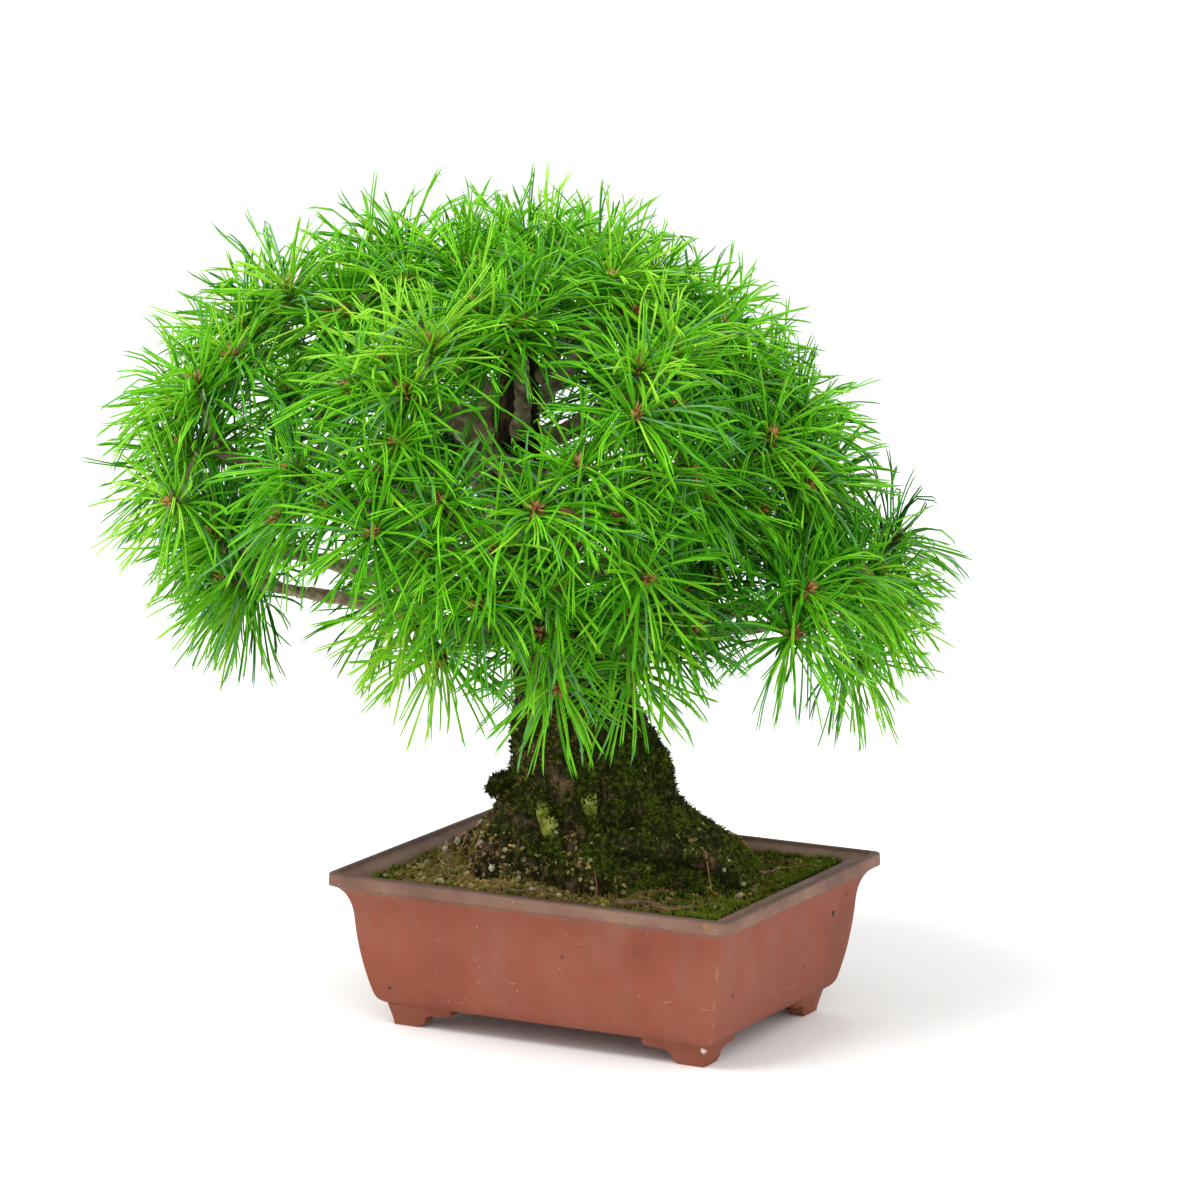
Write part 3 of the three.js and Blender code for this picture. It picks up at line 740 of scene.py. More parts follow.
footShape = {
    "corner": 26.5,
    "thick": 12,
    "long": 43,
    "short": 37,
    "flat": 18,
    "bevel": 0.7,
    "crease": 50,
    # Down the foot: height, inset of the outer faces, and how far the wings reach past the flat
    "stations": [
        (15.5, -0.6, 1.0), (13.2, 0.0, 1.0), (10.2, 0.7, 1.0), (9.2, 1.0, 0.94), (8.6, 1.2, 0.56),
        (7.8, 1.4, 0.38), (6.4, 1.7, 0.27), (4.6, 2.2, 0.26), (2.6, 2.6, 0.24), (1.1, 2.9, 0.13),
        (0.0, 3.1, 0.0),
    ],
}


# A bracket foot is an L in plan whose wings shorten on the way down in an ogee
def growFoot(form, signX, signY):
    shape = footShape
    cornerX = potSize.x / 2 - shape["corner"]
    cornerY = potSize.y / 2 - shape["corner"]

    def plan(height, inset, share):
        along = shape["flat"] + (shape["long"] - shape["flat"]) * share
        across = shape["flat"] + (shape["short"] - shape["flat"]) * share
        thick = shape["thick"]
        outline = [(inset, inset), (along, inset), (along, thick),
                   (thick, thick), (thick, across), (inset, across)]
        return [Vector((signX * (cornerX - x), signY * (cornerY - y), height)) for x, y in outline]

    verts = [form.verts.new(place) for place in plan(*shape["stations"][0])]
    face = form.faces.new(verts)
    body = set(verts)
    for number, station in enumerate(shape["stations"][1:]):
        fresh, face = raiseFace(form, face, number > 0)
        before = plan(*shape["stations"][number])
        for vert in fresh:
            nearest = min(range(len(before)), key=lambda k: (before[k] - vert.co).length)
            vert.co = plan(*station)[nearest]
        body.update(fresh)
    edges = [edge for edge in form.edges if edge.verts[0] in body and edge.is_manifold
             and edge.calc_face_angle(0) > math.radians(shape["crease"])]
    bmesh.ops.bevel(form, geom=edges, offset=shape["bevel"], offset_type="OFFSET", segments=2,
                    profile=0.5, affect="EDGES", material=-1, clamp_overlap=True)


def makePot():
    form = bmesh.new()
    growVessel(form)
    for signX in (-1, 1):
        for signY in (-1, 1):
            growFoot(form, signX, signY)
    addForm("potVessel", form, "clay", ["pot"], potShape["sharpAngle"])


makePot()


# Trunk

groundLevel = 90
trunkShape = {
    # Up the trunk: height, lean from the middle of the pot, and radius
    "stations": np.array([
        (90, -4, -1, 84), (100, -5, -1, 74), (114, -6, -1, 62), (134, -7, -2, 54), (159, -10, -2, 45),
        (200, -19, -4, 34), (256, -36, -7, 25), (316, -52, -10, 17), (352, -56, -11, 14),
        (400, -53, -11, 10), (424, -48, -10, 7),
    ], dtype=float),
    "buttresses": 7,
    "buttressDepth": 0.1,
    "buttressTwist": 40,
    "flatten": 0.16,
    "softening": 6,
    "around": 168,
    "along": 230,
    "crowding": 1.35,
    "sunk": 1.5,
    # Reliefs of the bark: how deep and how wide each is
    "lumps": (5.0, 24),
    "knots": (2.4, 11),
    "plates": (2.2, 6.5),
    "crumbs": (1.2, 2.6),
    # Swellings and necks of the flare: turn, height, half height and how far out
    "swellings": [(0.4, 109, 12, 10.0), (0.45, 138, 14, -7.5), (3.64, 108, 12, 6.5), (-0.45, 112, 12, 6.0)],
}


# The middle of the trunk and its radius at a height, softened between the stations
def trunkAt(height, soften=0.0):
    stations = trunkShape["stations"]
    heights = [clamped(height + shift, stations[0, 0], stations[-1, 0]) for shift in (-soften, 0, soften)]
    return tuple(np.mean(np.interp(heights, stations[:, 0], stations[:, k])) for k in (1, 2, 3))


def trunkSurface(turn, height):
    shape = trunkShape
    x, y, radius = trunkAt(height, shape["softening"])
    flare = radius / shape["stations"][0, 3]
    twisted = shape["buttresses"] * turn + height / shape["buttressTwist"]
    rib = 1 + shape["buttressDepth"] * flare * math.cos(twisted)
    spread = shape["flatten"] * flare ** 2
    out = Vector((math.cos(turn) * (1 + spread), math.sin(turn) * (1 - spread), 0))
    spot = Vector((x, y, height)) + out * radius * rib
    fissured = Vector((spot.x, spot.y, spot.z * 0.5))
    lump = relief(spot, shape["lumps"]) * min(1, 0.25 + flare)
    lump -= abs(relief(spot, shape["knots"])) * min(1, 0.3 + flare)
    plates, plateWidth = shape["plates"]
    plate = (0.5 - abs(noise.noise(fissured / plateWidth))) * plates * (0.4 + 0.9 * (1 - flare))
    crumb = relief(spot, shape["crumbs"]) * (0.35 + min(radius / 50, 0.8))
    swell = sum(most * max(0, math.cos(turn - toward)) ** 2 * math.exp(-((height - middle) / half) ** 2)
                for toward, middle, half, most in shape["swellings"])
    return spot + out.normalized() * (lump + plate + crumb + swell)


# How mossy a spot of the trunk or soil is, from 0 to 1
def mossAt(spot, bias):
    return clamped(bias + noise.noise(spot / 15) * 0.5 + noise.noise(spot / 5) * 0.3)


def trunkMoss(spot):
    leftFlank = clamped((-30 - spot.x) / 30) * clamped((150 - spot.z) / 30)
    frontFoot = clamped((-10 - spot.y) / 25) * clamped((114 - spot.z) / 14)
    frontFoot *= clamped((50 - spot.x) / 40)
    height = clamped((spot.z - 175) / 90)
    patches = 0.35 * noise.noise(spot / 34)
    return mossAt(spot, 0.66 + patches - 0.5 * leftFlank - 0.45 * frontFoot - 0.7 * height)


def makeTrunk():
    form = bmesh.new()
    foot = groundLevel - trunkShape["sunk"]
    rise = trunkShape["stations"][-1, 0] - groundLevel + trunkShape["sunk"]

    # Rings lie closer together near the ground, where the flare is wide
    def placeOf(around, along):
        return trunkSurface(around * 2 * math.pi, foot + rise * along ** trunkShape["crowding"])

    shapedGrid(form, trunkShape["around"], trunkShape["along"], placeOf)
    closeEnds(form)
    writeMoss(form, lambda vert: trunkMoss(vert.co))
    addForm("trunkBark", form, "trunk", ["trunk"])


makeTrunk()


# A limb as a rolled grid with a rule for its radius and one for its relief
def growLimb(form, line, around, radiusAt, reliefAt):
    along = len(line) - 1
    tangents = np.gradient(line, axis=0)
    middle = Vector(tangents.sum(axis=0)).normalized()
    helper = Vector((0, 0, 1)) if abs(middle.z) < 0.75 else Vector((1, 0, 0))
    reference = middle.cross(helper)
    frames = []
    for centre, tangent in zip(line, tangents):
        forward = Vector(tangent).normalized()
        across = (reference - forward * reference.dot(forward)).normalized()
        frames.append((Vector(centre), across, forward.cross(across)))

    def placeOf(aroundShare, alongShare):
        centre, across, upright = frames[round(alongShare * along)]
        turn = aroundShare * 2 * math.pi
        out = across * math.cos(turn) + upright * math.sin(turn)
        radius = radiusAt(alongShare)
        return centre + out * (radius + reliefAt(centre + out * radius, alongShare))

    shapedGrid(form, around, along, placeOf)


# Old roots by their lines and radii
oldRoots = {
    "paleRoots": ("root", [
        ([(-19, -30, 138), (-14, -50, 139), (-6, -57, 126), (3, -60, 113), (11, -64, 99)],
         [4.5, 6.6, 5.8, 3.4, 1.5]),
        ([(9, -28, 150), (13, -46, 150), (17, -52, 139), (19, -50, 128)], [3.5, 5.0, 4.4, 3.0]),
    ]),
    "mossyRoots": ("trunk", [
        ([(30, -20, 132), (54, -36, 119), (86, -12, 92)], [8.0, 7.5, 6.0]),
        ([(2, -46, 116), (28, -46, 121), (54, -39, 120), (77, -27, 113), (91, -13, 99), (97, -5, 89)],
         [4.0, 7.5, 9.0, 8.5, 7.5, 5.0]),
        ([(-28, -25, 138), (-42, -38, 150), (-51, -43, 148), (-54, -44, 140)], [4.2, 3.0, 3.8, 5.3]),
    ]),
}
rootShape = {
    "along": 37,
    "around": 22,
    "roundedFrom": 0.86,
    "roundedEnd": 0.14,
    "lumps": (1.5, 6),
    "crumbs": (0.8, 1.8),
    "crest": 11.5,
    "upward": 0.3,
}
trunkSkin = surfaceOf("trunkBark")


def makeRoots(name):
    shape = rootShape
    finish, roots = oldRoots[name]
    form = bmesh.new()

    def reliefAt(spot, share):
        return relief(spot, shape["lumps"]) + relief(spot, shape["crumbs"])

    # On the pale roots only the crest far from the trunk stays pale and the sides by it turn mossy dark:
    # partly moss, partly painted shade
    def mossAndShadeOf(vert):
        crest = trunkSkin.find_nearest(vert.co)[3] / shape["crest"]
        upward = shape["upward"] * vert.normal.z
        return mossAt(vert.co, 0.95 - crest if finish == "root" else 0.9 - 0.4 * crest + upward)

    for line, radii in roots:

        def radiusAt(share, radii=radii):
            rounded = max(0, share - shape["roundedFrom"]) / shape["roundedEnd"]
            radius = np.interp(share * (len(radii) - 1), range(len(radii)), radii)
            return radius * math.sqrt(1.04 - rounded ** 2)

        growLimb(form, smoothLine(line, shape["along"]), shape["around"], radiusAt, reliefAt)
    closeEnds(form)
    bmesh.ops.recalc_face_normals(form, faces=form.faces[:])
    form.normal_update()
    writeMoss(form, mossAndShadeOf)
    addForm(name, form, finish)


for name in oldRoots:
    makeRoots(name)


# Soil

soilShape = {
    "inset": 18.6,
    "top": 90.0,
    "bottom": 82.5,
    "skirt": 0.985,
    "around": 200,
    "along": 148,
    # Reliefs of the soil: how deep and how wide each is
    "lumps": (1.6, 13),
    "crumbs": (0.8, 3.4),
    "cushion": 4.2,
    "cushionFrom": 0.45,
    "heap": 21,
    "heapMiddle": (-14, -1),
    "heapReach": (116, 88),
}


def soilHalf():
    return potSize.x / 2 - soilShape["inset"], potSize.y / 2 - soilShape["inset"]


def soilMoss(x, y):
    rightSide = clamped((x - 20) / 60)
    edge = max(abs(x) / soilHalf()[0], abs(y) / soilHalf()[1])
    rimward = clamped((edge - 0.76) / 0.24) * clamped((y + 40) / 60, 0.55)
    return mossAt(Vector((x, y, 7)), 0.1 + 0.46 * rightSide + 0.45 * rimward)


def soilHeight(x, y):
    spot = Vector((x, y, 0))
    (heapX, heapY), (reachX, reachY) = soilShape["heapMiddle"], soilShape["heapReach"]
    uneven = relief(spot, soilShape["lumps"]) + relief(spot, soilShape["crumbs"])
    cushion = max(0, soilMoss(x, y) - soilShape["cushionFrom"]) * soilShape["cushion"]
    mound = max(0, 1 - math.hypot((x - heapX) / reachX, (y - heapY) / reachY)) * soilShape["heap"]
    return soilShape["top"] + uneven + cushion + mound


def makeSoil():
    form = bmesh.new()
    halfLength, halfWidth = soilHalf()

    def placeOf(across, along):
        x, y = (2 * across - 1) * halfLength, (2 * along - 1) * halfWidth
        return Vector((x, y, soilHeight(x, y)))

    shapedGrid(form, soilShape["around"], soilShape["along"], placeOf)
    rim = [edge for edge in form.edges if edge.is_boundary]
    skirt = bmesh.ops.extrude_edge_only(form, edges=rim)["geom"]
    taper = soilShape["skirt"]
    for part in skirt:
        if isinstance(part, bmesh.types.BMVert):
            part.co = Vector((part.co.x * taper, part.co.y * taper, soilShape["bottom"]))
    closeEnds(form)
    writeMoss(form, lambda vert: soilMoss(vert.co.x, vert.co.y))
    addForm("soilSurface", form, "soil", ["soil"])


makeSoil()
print("pot, trunk and soil ready")


# Layout of the boughs and the masses of needles, by the same rule as the solids

heart = np.array((-50.0, -11.0, 300.0))
boughShape = {
    "tipRadius": 3.4,
    "thickening": 0.022,
    "shortOfMass": 42,
    "kink": 9,
    "points": 121,
    "stemPoints": 61,
    "stemLead": 0.4,
    "around": 18,
    "along": 1.5,
    "oversize": 1.04,
    "collar": 0.5,
    "knuckles": 0.12,
    "ringPitch": 2.3,
    "rings": 0.22,
    "lumps": (0.8, 6),
    "crumbs": (0.35, 1.9),
}
sprayLayout = {
    "angleJitter": 0.9,
    "tries": 12,
    "leastSpread": 0.85,
    "spreadJitter": 0.3,
    "pullPerTry": 0.04,
    "depth": 0.5,
    "leastApart": 18,
    "firstTwig": 0.2,
    "mainTwig": 0.7,
    "lastTwig": 0.8,
    "coreRadius": 7,
}

# Heading in degrees about the heart of the crown, reach, height, sprays, their spread, and the
# height at which the mass's bough leaves the trunk
masses = {
    "top": (-135, 14, 458, 6, 42, None),
    "top_left": (-149, 88, 446, 6, 38, 372),
    "top_right": (15, 64, 444, 6, 38, 384),
    "top_front": (-60, 99, 432, 5, 34, 350),
    "upper_front_left": (-88, 148, 398, 5, 36, 330),
    "upper_front_right": (-25, 150, 388, 5, 36, 322),
    "upper_right": (22, 128, 406, 5, 36, 342),
    "upper_back_right": (92, 118, 412, 6, 44, 352),
    "upper_back_left": (150, 126, 402, 5, 44, 338),
    "upper_left": (-150, 164, 420, 6, 38, 346),
    "middle_front": (-67, 168, 314, 5, 36, 258),
    "middle_front_right": (-43, 172, 330, 5, 34, 282),
    "middle_front_left": (-99, 178, 338, 6, 38, 272),
    "middle_far_left": (-140, 202, 352, 6, 40, 296),
    "middle_left": (173, 186, 334, 5, 44, 286),
    "middle_back_left": (133, 184, 326, 6, 44, 300),
    "middle_back": (92, 178, 330, 5, 44, 276),
    "middle_back_right": (58, 184, 322, 6, 44, 292),
    "middle_right": (14, 172, 350, 6, 38, 308),
    "middle_inner_right": (-8, 150, 312, 4, 30, 262),
    "lower_front": (-57, 139, 260, 4, 30, 212),
    "lower_front_right": (-26, 138, 256, 4, 30, 200),
    "lower_front_left": (-90, 136, 264, 4, 30, 222),
    "lower_left": (-136, 180, 274, 5, 34, 234),
    "lower_far_left": (-160, 178, 284, 5, 34, 250),
    "lower_back_left": (150, 160, 262, 5, 34, 228),
    "lower_back": (93, 156, 258, 5, 34, 216),
    "lower_far_right": (32, 214, 256, 6, 40, 236),
    "lower_right": (1, 196, 258, 5, 36, 224),
}


# The same draws between 0 and 1 on every run
def drawsFrom(seed):
    state = seed

    def draw():
        nonlocal state
        state = (state * 1664525 + 1013904223) % 2 ** 32
        return state / 2 ** 32

    return draw


def trunkMiddle(height):
    x, y, radius = trunkAt(height)
    return np.array((x, y, height))


def layOut(index, name):
    heading, reach, height, sprays, spread, boughHeight = masses[name]
    draw = drawsFrom(1000 + index)
    turn = math.radians(heading)
    centre = np.array((heart[0] + math.cos(turn) * reach, heart[1] + math.sin(turn) * reach, height))
    laid = {"name": name, "draw": draw, "centre": centre, "sprays": sprays, "spread": spread, "line": None}
    if boughHeight is None:
        x, y, radius = trunkAt(trunkShape["stations"][-1, 0])
        start = np.array((x, y, trunkShape["stations"][-1, 0] - 4))
        laid["stem"] = bentLine(start, (start + centre) / 2, centre, boughShape["stemPoints"])
        return laid
    root = trunkMiddle(boughHeight)
    along = centre - root
    tip = centre - unit(along) * boughShape["shortOfMass"]
    across = unit(np.array((-along[1], along[0], 0)))
    bends = []
    for share in (0.35, 0.7):
        bend = root + (tip - root) * share
        bend = bend + across * (draw() * 2 - 1) * boughShape["kink"]
        bend[2] += (draw() * 1.6 - 1) * boughShape["kink"]
        bends.append(bend)
    line = smoothLine([root, *bends, tip], boughShape["points"])
    lead = unit(line[-1] - line[-2]) * boughShape["shortOfMass"] * boughShape["stemLead"]
    laid["line"] = line
    laid["rootRadius"] = boughShape["tipRadius"] + boughShape["thickening"] * np.linalg.norm(along)
    laid["stem"] = bentLine(tip, tip + lead, centre, boughShape["stemPoints"])
    return laid


laidOut = [layOut(index, name) for index, name in enumerate(masses)]

def lengthOf(line):
    return np.linalg.norm(np.diff(line, axis=0), axis=1).sum()


# Round samples along the trunk and the boughs that twigs stay clear of
hardSamples = []
for height in np.arange(groundLevel, trunkShape["stations"][-1, 0] + 2, 6):
    hardSamples.append((*trunkMiddle(height), trunkAt(height)[2]))
for laid in laidOut:
    if laid["line"] is not None:
        count = math.ceil(lengthOf(laid["line"]) / 4) + 1
        radii = np.linspace(laid["rootRadius"], boughShape["tipRadius"], count)
        hardSamples += [(*place, radius) for place, radius in zip(evenly(laid["line"], count), radii)]
hardSamples = np.array(hardSamples)


def roomAround(point):
    return (np.linalg.norm(hardSamples[:, :3] - point, axis=1) - hardSamples[:, 3]).min()


# How far a point lies inside the space of a mass: no nearer to any other mass than to its own
def roomInSpace(mass, point):
    least = math.inf
    for other in laidOut:
        if other is not mass:
            away = other["centre"] - mass["centre"]
            apart = np.linalg.norm(away)
            least = min(least, apart / 2 - (point - mass["centre"]).dot(away) / apart)
    return least


def placeSprays(mass):
    layout, draw = sprayLayout, mass["draw"]
    outward = unit(mass["centre"] - heart)
    side = unit(np.array((-outward[1], outward[0], 0)))
    rise = np.cross(outward, side)
    lastPoint = boughShape["stemPoints"] - 1
    placed = [{"place": mass["centre"], "parent": mass["stem"][round(layout["mainTwig"] * lastPoint)]}]
    first, span = layout["firstTwig"], layout["lastTwig"] - layout["firstTwig"]
    for i in range(1, mass["sprays"]):
        along = first + span * (i - 1) / (mass["sprays"] - 2)
        parent = mass["stem"][round(along * lastPoint)]
        for attempt in range(layout["tries"]):
            angle = i * goldenTurn + (draw() - 0.5) * layout["angleJitter"]
            share = layout["leastSpread"] + layout["spreadJitter"] * draw() - layout["pullPerTry"] * attempt
            out = mass["spread"] * share
            place = mass["centre"] + side * out * math.cos(angle) + rise * out * math.sin(angle)
            place = place + outward * (draw() - 0.6) * layout["depth"] * mass["spread"]
            halfway = parent + (place - parent) * 0.6
            apart = min(np.linalg.norm(other["place"] - place) for other in placed)
            room = min(roomAround(place), roomAround(halfway), roomInSpace(mass, place))
            if room > layout["coreRadius"] + 1 and apart > layout["leastApart"]:
                placed.append({"place": place, "parent": parent})
                break
    return placed, outward


# Boughs

def makeBoughs():
    shape = boughShape
    for laid in laidOut:
        if laid["line"] is None:
            continue
        form = bmesh.new()
        length = lengthOf(laid["line"])
        line = evenly(laid["line"], int(length / shape["along"]) + 1)

        def radiusAt(share, root=laid["rootRadius"], seed=laid["centre"][0]):
            collar = 1 + shape["collar"] * max(0, 1 - share * 6) ** 2
            knuckle = shape["knuckles"] * noise.noise(Vector((share * 14, seed, 0)))
            return (root + (shape["tipRadius"] - root) * share) * (collar + knuckle) * shape["oversize"]

        def reliefAt(spot, share, length=length):
            ring = share * length * 2 * math.pi / shape["ringPitch"] + noise.noise(spot / 5) * 5
            wrinkle = shape["rings"] * math.sin(ring)
            return wrinkle + relief(spot, shape["lumps"]) + relief(spot, shape["crumbs"])

        growLimb(form, line, shape["around"], radiusAt, reliefAt)
        closeEnds(form)
        name = f"bough_{laid['name']}"
        addForm(f"{name}_bark", form, "bough", [name])


makeBoughs()
print("boughs ready")


# Twigs, shoots and tufts of needles, grown on from the stems

tuftShape = {
    "mainBundles": 54,
    "mainReach": 58,
    "sideBundles": 28,
    "sideReach": 52,
    "sideShare": 0.2,
    "sideOut": (18, 24),
    "sideBack": (6, 16),
    "shoot": 15,
}
# Twigs and shoots: points along each, radii at both ends, how uneven they are
twigShape = {
    "points": 16, "stem": (boughShape["tipRadius"], 2.3), "twig": (2.4, 1.8), "uneven": 0.1, "sag": 2.5,
}
shootShape = {"points": 10, "tip": 1.7, "main": 1.9, "side": 1.7, "uneven": 0.35}
# Sprays are left out near these places, where one looks in on the limbs
openings = [
    ((16, -116, 405), 14), ((-74, -156, 284), 14), ((-72, -194, 298), 18), ((-162, -141, 240), 8),
    ((139, -6, 223), 8), ((-218, -139, 320), 8),
]
twigLines = []
twigRadii = []
shootLines = []
shootRadii = []
tufts = []


def growTwig(line, radii):
    swell = 1 + twigShape["uneven"] * luck.normal(0, 1, twigShape["points"])
    twigLines.append(line)
    twigRadii.append(np.linspace(*radii, twigShape["points"]) * swell)


def growShoot(start, bud, forward, radius):
    count = shootShape["points"]
    reach = np.linalg.norm(bud - start)
    line = bentLine(start, bud - forward * reach * 0.45, bud, count)
    uneven = luck.normal(0, shootShape["uneven"], line.shape)
    shootLines.append(line + uneven * np.linspace(0, 1, count)[:, None])
    shootRadii.append(np.linspace(radius, shootShape["tip"], count))


def addTuft(bud, axis, kind, depth):
    bundles, reach = tuftShape[f"{kind}Bundles"], tuftShape[f"{kind}Reach"]
    tufts.append({"bud": bud, "axis": axis, "bundles": bundles, "reach": reach, "depth": depth})


def isOpen(place):
    return any(np.linalg.norm(place - middle) < reach for middle, reach in openings)


def growMass(mass):
    placed, outward = placeSprays(mass)
    growTwig(evenly(mass["stem"], twigShape["points"]), twigShape["stem"])
    for number, spray in enumerate(placed):
        place, parent = spray["place"], spray["parent"]
        if number and isOpen(place):
            continue
        stalk = unit(parent - place)
        axis = unit(outward * 0.7 - stalk + np.array((0, 0, 0.64)))
        if number:
            sag = (parent + place) / 2 + luck.normal(0, twigShape["sag"], 3)
            growTwig(bentLine(parent, sag, place - axis * 5, twigShape["points"]), twigShape["twig"])
        growShoot(place - axis * 6, place, axis, shootShape["main"])
        depth = np.linalg.norm(place - heart) / np.linalg.norm(mass["centre"] - heart)
        addTuft(place, axis, "main", depth)
        if luck.uniform(0, 1) > tuftShape["sideShare"]:
            continue
        out = unit(np.cross(axis, luck.normal(0, 1, 3)))
        bud = place + out * luck.uniform(*tuftShape["sideOut"]) - axis * luck.uniform(*tuftShape["sideBack"])
        if roomInSpace(mass, bud) < 3 or roomAround(bud) < 6 or isOpen(bud):
            continue
        lean = unit(axis * 0.75 + out * 0.7 + np.array((0, 0, 0.15)))
        growShoot(place + stalk * 18, bud, lean, shootShape["side"])
        addTuft(bud, lean, "side", depth - 0.05)


for laid in laidOut:
    growMass(laid)
print(f"{len(tufts)} tufts")


needleShape = {
    "shares": np.array((0, 0.15, 0.33, 0.52, 0.72, 0.9, 1.0)),
    "widths": np.array((0.75, 1.0, 1.0, 1.0, 1.0, 0.85, 0.0)),
    "halfWidth": 0.6,
    "perBundle": 2,
    "bundleSpread": 0.006,
    "needleSpread": (0.01, 0.09),
    # Degrees between the shoot and its needles at its foot and round its bud, less on upright ones
    "widest": 100,
    "narrowest": 47,
    "uprightCloser": 27,
    "closing": 0.85,
    "shortAtBud": 0.25,
    "droop": 0.55,
    "curl": 0.27,
    "hooked": 0.14,
    "hook": 1.15,
    "beyondBox": 4,
    "boxPasses": 3,
    "perPiece": 5500,
}
# How light a bundle's green is, as painted light and shade: brighter on the sunny outside, darker
# where it points back into the crown, with some luck on top. The middles are where a share adds nothing.
lightness = {
    "base": 1.48,
    "sunward": unit(np.array((0.1, -0.8, 0.6))),
    "sunny": 0.85,
    "leftward": 0.06,
    "outer": 3.6,
    "outerMost": 1.1,
    "outerMiddle": 0.94,
    "outward": 1.3,
    "outwardMiddle": 0.15,
    "tuftLuck": 0.55,
    "bundleLuck": 0.4,
    "glaucous": 0.08,
}
crownHalf = np.array((215.0, 200.0, 150.0))        # from the heart to the buds of the outer sprays
needleNames = [name for name in greens if name.startswith("needles")]


# Bundles of needles spiral up the shoot, wide at its foot and close round its bud
def growTuft(tuft):
    shape, light = needleShape, lightness
    count, per = tuft["bundles"], shape["perBundle"]
    along = (np.arange(count) + 0.5) / count
    axis = tuft["axis"]
    side = unit(np.cross(axis, (0.31, 0.2, 0.93)))
    other = np.cross(axis, side)
    narrowest = shape["narrowest"] - shape["uprightCloser"] * clamped((axis[2] - 0.5) * 2)
    angle = np.radians(shape["widest"] + (narrowest - shape["widest"]) * along ** shape["closing"])
    angle += luck.normal(0, 0.07, count)
    turn = np.arange(count) * goldenTurn + luck.uniform(0, anyTurn) + luck.normal(0, 0.12, count)
    out = side * np.cos(turn)[:, None] + other * np.sin(turn)[:, None]
    heading = axis * np.cos(angle)[:, None] + out * np.sin(angle)[:, None]
    start = tuft["bud"] - axis * (tuftShape["shoot"] * (1 - along))[:, None] + out * 1.2
    headings = np.repeat(heading, per, axis=0) + luck.normal(0, shape["bundleSpread"], (count * per, 3))
    starts = np.repeat(start, per, axis=0) + luck.normal(0, 0.35, (count * per, 3))
    shorter = 1 - shape["shortAtBud"] * (along > 0.9)
    lengths = np.repeat(tuft["reach"] * luck.uniform(0.8, 1.08, count) * shorter, per)
    lengths = lengths * luck.uniform(0.94, 1.03, count * per)
    away = (tuft["bud"] - heart) / crownHalf
    outside = np.linalg.norm(away)
    # The level paints light and shade into the green: up toward the sun and the outside, down inside the
    # crown
    level = light["base"] + light["sunny"] * max(axis @ light["sunward"], 0) - light["leftward"] * away[0]
    level = level + luck.normal(0, light["tuftLuck"])
    outer = min(0.5 * outside + 0.5 * tuft["depth"], light["outerMost"])
    level += light["outer"] * (outer - light["outerMiddle"])
    level = level + light["outward"] * (heading @ (away / outside) - light["outwardMiddle"])
    level = level + luck.normal(0, light["bundleLuck"], count)
    glaucous = len(needleNames) - 1
    levels = np.repeat(np.clip(np.round(level), 0, glaucous - 1), per).astype(int)
    levels[luck.uniform(0, 1, count * per) < light["glaucous"]] = glaucous
    # A bundle keeps together: its needles share one bend and differ a little
    droop = np.repeat(shape["droop"] * luck.uniform(0.35, 1.45, count), per)
    curls = np.repeat(luck.normal(0, shape["curl"], (count, 3)), per, axis=0)
    curls = curls + luck.normal(0, 1, (count * per, 3)) * np.repeat(
        luck.uniform(*shape["needleSpread"], (count, 1)), per, axis=0)
    hooks = np.repeat(np.where(luck.uniform(0, 1, count) < shape["hooked"], shape["hook"], 0.0), per)
    hooks = hooks * luck.uniform(0.7, 1.3, count * per)
    return starts, unit(headings), lengths, levels, droop, curls, hooks


# Each needle arches over under its own weight, and some hook at the tip
def needleLines(starts, headings, lengths, droop, curls, hooks):
    shares = needleShape["shares"]
    lines = [starts]
    for before, after in zip(shares, shares[1:]):
        half = (before + after) / 2
        down = droop * half + hooks * half ** 4
        bent = headings + np.array((0, 0, -1)) * down[:, None] + curls * half ** 2
        lines.append(lines[-1] + unit(bent) * (lengths * (after - before))[:, None])
    return np.stack(lines, axis=1)


def makeNeedles():
    shape = needleShape
    grown = [growTuft(tuft) for tuft in tufts]
    starts, headings, lengths, levels, *bends = (np.concatenate(part) for part in zip(*grown))
    total = len(starts)
    low, high = ((np.array(corner) - np.array(potMiddle)) / mm for corner in cadBounds)
    low, high = low - shape["beyondBox"], high + shape["beyondBox"]
    for attempt in range(shape["boxPasses"]):
        lines = needleLines(starts, headings, lengths, *bends)
        reached = lines - starts[:, None]
        over = np.maximum(lines - high, 0) + np.maximum(low - lines, 0)
        excess = (over / np.maximum(np.abs(reached), 1)).max(axis=(1, 2))
        lengths = lengths * (1 - np.minimum(excess, 0.6))
    lines = needleLines(starts, headings, lengths, *bends)
    radii = np.repeat(shape["widths"][None], total, axis=0) * shape["halfWidth"]
    radii = radii * luck.uniform(0.85, 1.15, total)[:, None]
    nodes = [f"needles_{name}" for name in masses]
    for level, name in enumerate(needleNames):
        chosen = np.flatnonzero(levels == level)
        for number, start in enumerate(range(0, len(chosen), shape["perPiece"])):
            some = chosen[start:start + shape["perPiece"]]
            label = f"{name}_{number + 1}"
            replaced = nodes if label == "needlesFresh_1" else ()
            addTubes(label, lines[some], radii[some], 3, name, "pine_needles", replaced)
    print(f"{total} needles")


makeNeedles()


# Scales round each bud

budShape = {
    "scales": 26, "length": (4.5, 9.5), "halfWidth": 0.95, "spread": 0.66, "sunk": (-4, 1.5), "bend": 0.5,
}


